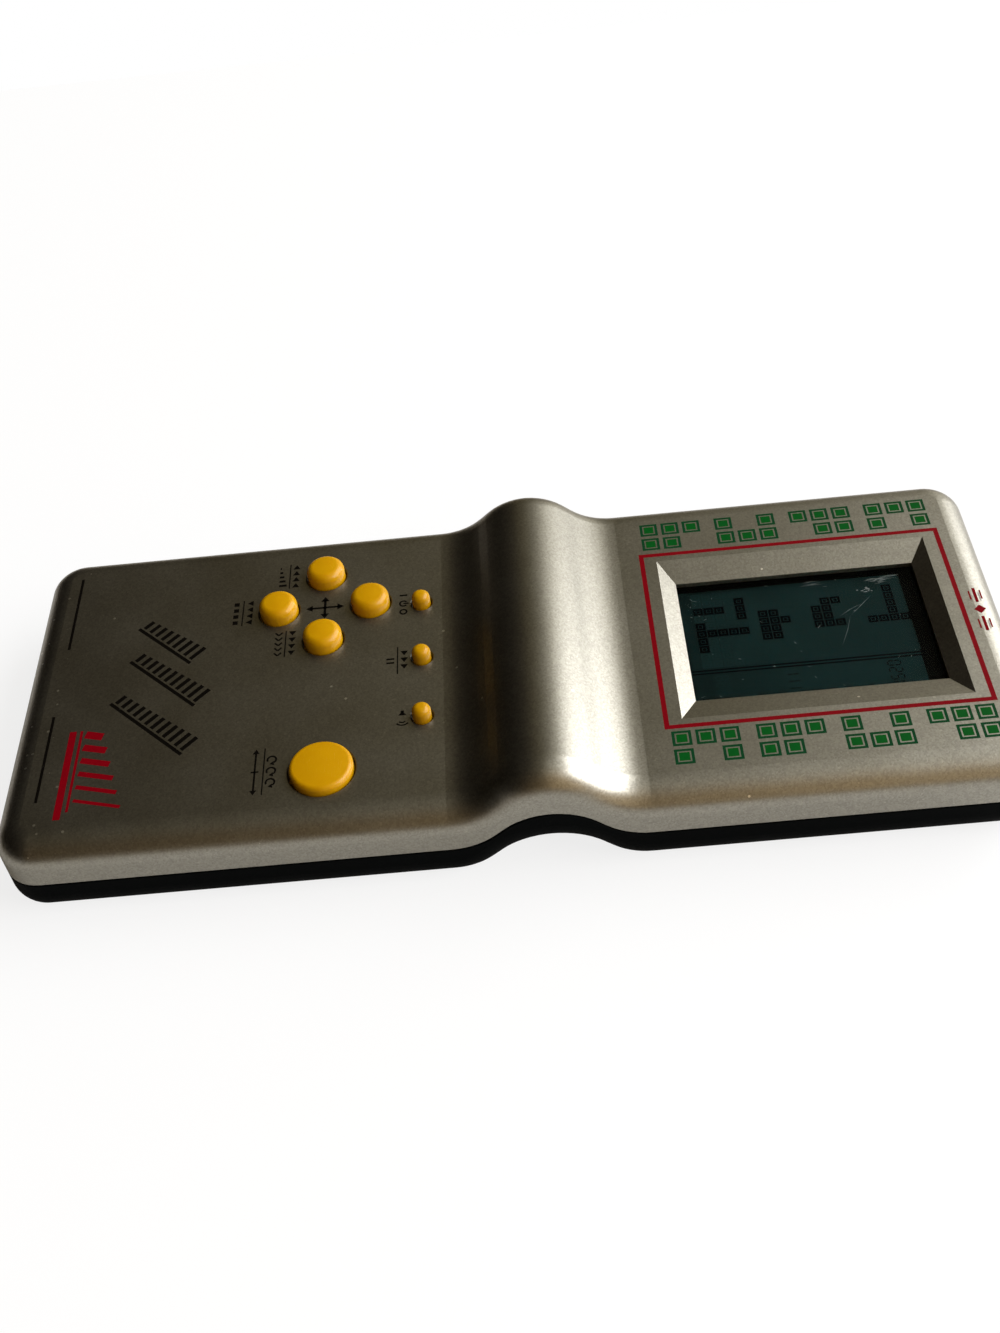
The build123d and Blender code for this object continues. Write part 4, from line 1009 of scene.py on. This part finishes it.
class CONSOLE_OT_lens_wear(bpy.types.Operator):
    """Scratch the clear lens: a scatter all over and a bright patch near one corner"""

    bl_idname = "console.lens_wear"
    bl_label = "Scratches on the lens"

    def execute(self, context):
        chance = random.Random(11)
        outlines = []

        def scratch(x, y, length, heading, width):
            """A thin bowed rhomb round a place, in millimetres from the middle of the lens."""
            turn = math.radians(heading)
            reach = Vector((math.cos(turn), math.sin(turn))) * length / 2
            across = Vector((-reach.y, reach.x))
            side = across.normalized() * width / 2
            bow = Vector((x, y)) + across * chance.uniform(-0.12, 0.12)
            outlines.append([
                Vector((x, y)) - reach, bow - side, Vector((x, y)) + reach, bow + side,
            ])

        # Short nicks all over
        reach_x, reach_y, nicks = 14.0, 21.0, 30
        for _ in range(nicks):
            x, y = chance.uniform(-reach_x, reach_x), chance.uniform(-reach_y, reach_y)
            length = chance.uniform(0.3, 1.1)
            heading = chance.choice((35, 70, 95, -40)) + chance.uniform(-15, 15)
            scratch(x, y, length, heading, chance.uniform(0.04, 0.08))
        # The rubbed patch near the far corner: faint smears along the case, then short bright ones
        along_case = 93
        for x, y, spread, length, width, count in (
            (-13.0, 16.6, 1.2, 3.4, 0.09, 10), (-12.2, 14.6, 0.9, 1.8, 0.12, 9),
            (-9.9, 13.2, 1.0, 0.8, 0.24, 12), (-12.9, 3.6, 1.0, 3.0, 0.08, 4),
        ):
            for _ in range(count):
                near_x, near_y = x + chance.gauss(0, 0.35), y + chance.gauss(0, spread)
                rub = length * chance.uniform(0.5, 1.2)
                heading = along_case + chance.uniform(-8, 8)
                scratch(near_x, near_y, rub, heading, width * chance.uniform(0.6, 1.3))
        # Long single scratches
        for x, y, length, heading in (
            (-6.1, 11.2, 6.7, -44), (0.1, 7.3, 8.1, -21), (-5.0, 9.0, 5.0, -58),
            (-12.6, 3.0, 5.0, 92),
        ):
            scratch(x, y, length, heading, 0.065)
        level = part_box("window_lens")[1].z
        mesh = prisms("lens_scratches", moved(outlines, SCREEN), level, 0.01 * MM)
        link_mesh("lens_scratches", mesh, lens_marks())
        return {"FINISHED"}


def seven_bars(width, height):
    """The seven bars of a digit by letter, round its middle, in millimetres."""
    x, y, line, gap = width / 2, height / 2, 0.24, 0.16
    places = {
        "a": ((-x + gap, y), (x - gap, y)), "g": ((-x + gap, 0), (x - gap, 0)),
        "d": ((-x + gap, -y), (x - gap, -y)), "b": ((x, gap), (x, y - gap)),
        "f": ((-x, gap), (-x, y - gap)), "c": ((x, gap - y), (x, -gap)),
        "e": ((-x, gap - y), (-x, -gap)),
    }
    return [(letter, bar(start, end, line)) for letter, (start, end) in places.items()]


class CONSOLE_OT_inside(bpy.types.Operator):
    """Finish the pieces inside the case"""

    bl_idname = "console.inside"
    bl_label = "Pieces inside"

    def execute(self, context):
        finishes = {
            plain_finish("moulded_white_abs", "#D9D8D2", 0.5): ("lcd_holder",),
            plain_finish("moulded_grey_silicone", "#8C8F91", 0.62): (
                "direction_mat", "function_mat", "rotate_mat"),
            plain_finish("striped_conductive_rubber", "#B79A9C", 0.6, grain=0.1 * MM): (
                "zebra_strips",),
            plain_finish("carbon_filled_rubber", "#17181A", 0.75): ("carbon_pills",),
            plain_finish("paper_phenolic_laminate", "#9A6B35", 0.5, grain=0.5 * MM): (
                "main_board",),
            plain_finish("poured_black_epoxy", "#0B0B0C", 0.16, grain=3 * MM): ("chip_blob",),
            plain_finish("dipped_resistor_lacquer", "#B99868", 0.4): ("resistors",),
            plain_finish("dipped_ceramic_body", "#B4662A", 0.35): ("ceramic_capacitors",),
            plain_finish("shrunk_pvc_sleeve", "#1B2140", 0.25): ("tank_capacitor",),
            plain_finish("zinc_plated_steel", "#B9B8B0", 0.3, 1.0): (
                "case_screws", "board_screws"),
            plain_finish("nickel_plated_spring_steel", "#C9C5BA", 0.24, 1.0): (
                "bridge_contact", "positive_contact", "negative_contact"),
            plain_finish("printed_steel_jacket", "#5B6066", 0.3, 0.8): (
                "battery_cell_low", "battery_cell_high"),
            plain_finish("rolled_brass_disc", "#C9A24E", 0.28, 1.0): ("buzzer_disc",),
            plain_finish("fired_piezo_ceramic", "#CFC9B8", 0.6): ("buzzer_ceramic",),
            plain_finish("red_pvc_insulation", "#A31512", 0.32): (
                "positive_lead", "buzzer_lead_ceramic"),
            plain_finish("black_pvc_insulation", "#141414", 0.35): (
                "negative_lead", "buzzer_lead_disc"),
        }
        for finish, nodes in finishes.items():
            for node in nodes:
                give(node, finish)
        return {"FINISHED"}


def photo_camera():
    """The camera at the photograph's place, turn and angle of view."""
    data = bpy.data.cameras.new("photo_camera")
    data.sensor_width = SENSOR_LONG_SIDE
    data.lens = CAMERA_FOCAL_PIXELS * SENSOR_LONG_SIDE / PHOTO_HEIGHT
    data.clip_start = 10 * MM
    data.clip_end = 20.0
    azimuth, elevation, roll = CAMERA_AZIMUTH, CAMERA_ELEVATION, CAMERA_ROLL
    back = Vector((
        math.sin(azimuth) * math.cos(elevation), -math.cos(azimuth) * math.cos(elevation),
        math.sin(elevation),
    ))
    right = (-back).cross(Vector((0, 0, 1))).normalized()
    up = right.cross(-back)
    turned_right = right * math.cos(roll) + up * math.sin(roll)
    turned_up = up * math.cos(roll) - right * math.sin(roll)
    camera = bpy.data.objects.new("photo_camera", data)
    turn = Matrix((turned_right, turned_up, back)).transposed()
    camera.matrix_world = Matrix.Translation(CAMERA_PLACE) @ turn.to_4x4()
    bpy.context.scene.collection.objects.link(camera)
    bpy.context.scene.camera = camera


def white_floor():
    """Matt white board that reads as white to the eye and still takes a faint shadow."""
    made, tree, shader, place = new_material("matt_white_board")
    _, board = mottle(tree, place, 2 * MM, 2.0, colour("#CFCFCE"), colour("#D8D8D7"))
    # Painted shade: past its lit middle the board's colour turns a warm dark, standing in for the
    # room's shade, and only the case mirrors it
    aside = add_node(tree, "ShaderNodeVectorMath", {0: place}, operation="ABSOLUTE")
    beyond = add_node(tree, "ShaderNodeVectorMath", {0: aside, 1: CASE_HIGH}, operation="SUBTRACT")
    parts = add_node(tree, "ShaderNodeSeparateXYZ", {"Vector": beyond})
    farther = add_node(tree, "ShaderNodeMath", {
        0: parts.outputs["X"], 1: parts.outputs["Y"],
    }, operation="MAXIMUM")
    shade = add_node(tree, "ShaderNodeMapRange", {
        "Value": farther, "From Min": 35 * MM, "From Max": 110 * MM,
    })
    # Painted shade: away from the case the board's colour darkens to a warm brown
    mirrored = add_node(tree, "ShaderNodeMix", {
        "Factor": shade, "A": board, "B": colour("#857967"),
    }, data_type="RGBA")
    rays = add_node(tree, "ShaderNodeLightPath").outputs
    seen = add_node(tree, "ShaderNodeMix", {
        "Factor": rays["Is Camera Ray"], "A": mirrored, "B": colour("#FFFFFF"),
    }, data_type="RGBA")
    set_inputs(tree, shader, {"Base Color": seen, "Roughness": 0.8})
    glow = add_node(tree, "ShaderNodeEmission", {"Color": colour("#FFFFFF"), "Strength": 1.0})
    share = add_node(tree, "ShaderNodeMath", {
        0: rays["Is Camera Ray"], 1: 0.82,
    }, operation="MULTIPLY")
    both = add_node(tree, "ShaderNodeMixShader", {0: share, 1: shader, 2: glow})
    out = next(node for node in tree.nodes if node.type == "OUTPUT_MATERIAL")
    set_inputs(tree, out, {"Surface": both})
    return made


def soft_light(name, place, size, power):
    """A rectangular soft light, faintly cool, that looks at the console."""
    data = bpy.data.lights.new(name, "AREA")
    data.shape = "RECTANGLE"
    data.size, data.size_y = size
    data.energy = power
    data.color = colour("#FAFBFF")[:3]
    light = bpy.data.objects.new(name, data)
    turn = (-place).to_track_quat("-Z", "Y").to_matrix()
    light.matrix_world = Matrix.Translation(place) @ turn.to_4x4()
    bpy.context.scene.collection.objects.link(light)


def studio_world(strength):
    """Soft light all round: dim beyond the keys' end, bright towards the window's side."""
    world = bpy.data.worlds.new("studio")
    bpy.context.scene.world = world
    world.use_nodes = True
    tree = world.node_tree
    tree.nodes.clear()
    heading = add_node(tree, "ShaderNodeTexCoord").outputs["Generated"]
    bright_side = math.radians(84)
    along = add_node(tree, "ShaderNodeVectorMath", {
        0: heading, 1: (math.cos(bright_side), math.sin(bright_side), 0.0),
    }, operation="DOT_PRODUCT").outputs["Value"]
    towards = add_node(tree, "ShaderNodeMapRange", {
        "Value": along, "From Min": -1.0, "From Max": 1.0,
    })
    ramp = add_node(tree, "ShaderNodeValToRGB", {"Fac": towards})
    stops = (
        (0.0, "#080502"), (0.2, "#0D0904"), (0.32, "#1A140A"), (0.4, "#433A22"), (0.5, "#554F3A"),
        (0.58, "#8A8476"), (0.65, "#C4BFAE"), (0.75, "#C6C2B6"), (0.9, "#D6D5CF"),
    )
    marks = ramp.color_ramp.elements
    while len(marks) < len(stops):
        marks.new(0.5)
    for mark, (place, code) in zip(marks, stops):
        mark.position = place
        mark.color = colour(code)
    # The near side of the room is warmer and a little dimmer
    parts = add_node(tree, "ShaderNodeSeparateXYZ", {"Vector": heading})
    near = add_node(tree, "ShaderNodeMapRange", {
        "Value": parts.outputs["X"], "From Min": 0.1, "From Max": 0.8,
    })
    warm = add_node(tree, "ShaderNodeMix", {
        "Factor": near, "A": ramp.outputs["Color"], "B": colour("#ECD2AE"),
    }, data_type="RGBA", blend_type="MULTIPLY")
    glow = add_node(tree, "ShaderNodeBackground", {"Color": warm, "Strength": strength})
    # To the eye the room is as white as the board
    white = add_node(tree, "ShaderNodeBackground", {"Color": colour("#FFFFFF"), "Strength": 1.0})
    seen = add_node(tree, "ShaderNodeLightPath").outputs["Is Camera Ray"]
    shown = add_node(tree, "ShaderNodeMixShader", {0: seen, 1: glow, 2: white})
    add_node(tree, "ShaderNodeOutputWorld", {"Surface": shown})


class CONSOLE_OT_stage(bpy.types.Operator):
    """Set the camera, the pale floor and the soft light"""

    bl_idname = "console.stage"
    bl_label = "Stage"

    def execute(self, context):
        stage = context.scene.console_stage
        context.scene.view_settings.view_transform = "Standard"
        photo_camera()
        reach = 0.3
        level = CAD_BOX[0].z - 0.05 * MM
        corners = [(x, y, level) for x, y in rectangle(-reach, reach, -reach, reach)]
        mesh = bpy.data.meshes.new("floor")
        mesh.from_pydata(corners, [], [(0, 1, 2, 3)])
        mesh.materials.append(white_floor())
        floor = bpy.data.objects.new("floor", mesh)
        context.scene.collection.objects.link(floor)
        across, up = math.radians(stage.window_azimuth), math.radians(stage.window_elevation)
        away = Vector((
            math.cos(across) * math.cos(up), math.sin(across) * math.cos(up), math.sin(up),
        )) * stage.window_distance
        size = (stage.window_width, stage.window_height)
        soft_light("window_light", away, size, stage.window_power)
        studio_world(stage.sky)
        return {"FINISHED"}


class CONSOLE_PT_panel(bpy.types.Panel):
    """The console's pieces and settings"""

    bl_idname = "CONSOLE_PT_panel"
    bl_label = "Handheld console"
    bl_space_type = "VIEW_3D"
    bl_region_type = "UI"
    bl_category = "Console"

    def draw(self, context):
        for name in PIECE_CALLS:
            self.layout.operator("console." + name)
        for group in GROUPS:
            box = self.layout.box()
            settings = getattr(context.scene, group)
            for prop in settings.bl_rna.properties:
                if prop.identifier not in ("rna_type", "name"):
                    box.prop(settings, prop.identifier)


PIECE_CALLS = (
    "stage", "case", "keys", "display", "lens_wear", "inside", "frame_print", "square_print",
    "black_print",
)
GROUPS = {
    "console_paint": ConsolePaint,
    "console_plastic": ConsolePlastic,
    "console_display": ConsoleDisplay,
    "console_stage": ConsoleStage,
}
CLASSES = (
    CONSOLE_OT_stage, CONSOLE_OT_case, CONSOLE_OT_keys, CONSOLE_OT_display, CONSOLE_OT_lens_wear,
    CONSOLE_OT_inside, CONSOLE_OT_frame_print, CONSOLE_OT_square_print, CONSOLE_OT_black_print,
    CONSOLE_PT_panel,
)


def register():
    """Registers the settings, the operators and the panel."""
    for name, group in GROUPS.items():
        bpy.utils.register_class(group)
        setattr(bpy.types.Scene, name, PointerProperty(type=group))
    for made in CLASSES:
        bpy.utils.register_class(made)


def unregister():
    """Takes everything that register made away again."""
    for made in reversed(CLASSES):
        bpy.utils.unregister_class(made)
    for name, group in GROUPS.items():
        delattr(bpy.types.Scene, name)
        bpy.utils.unregister_class(group)


def main():
    """Builds the whole console."""
    frame["root_body"] = next(body for body, empty in frame["bodies"].items()
                              if empty == frame["nodes"]["front_cover"].parent)
    register()
    for name in PIECE_CALLS:
        getattr(bpy.ops.console, name)()


if __name__ == "__main__":
    main()
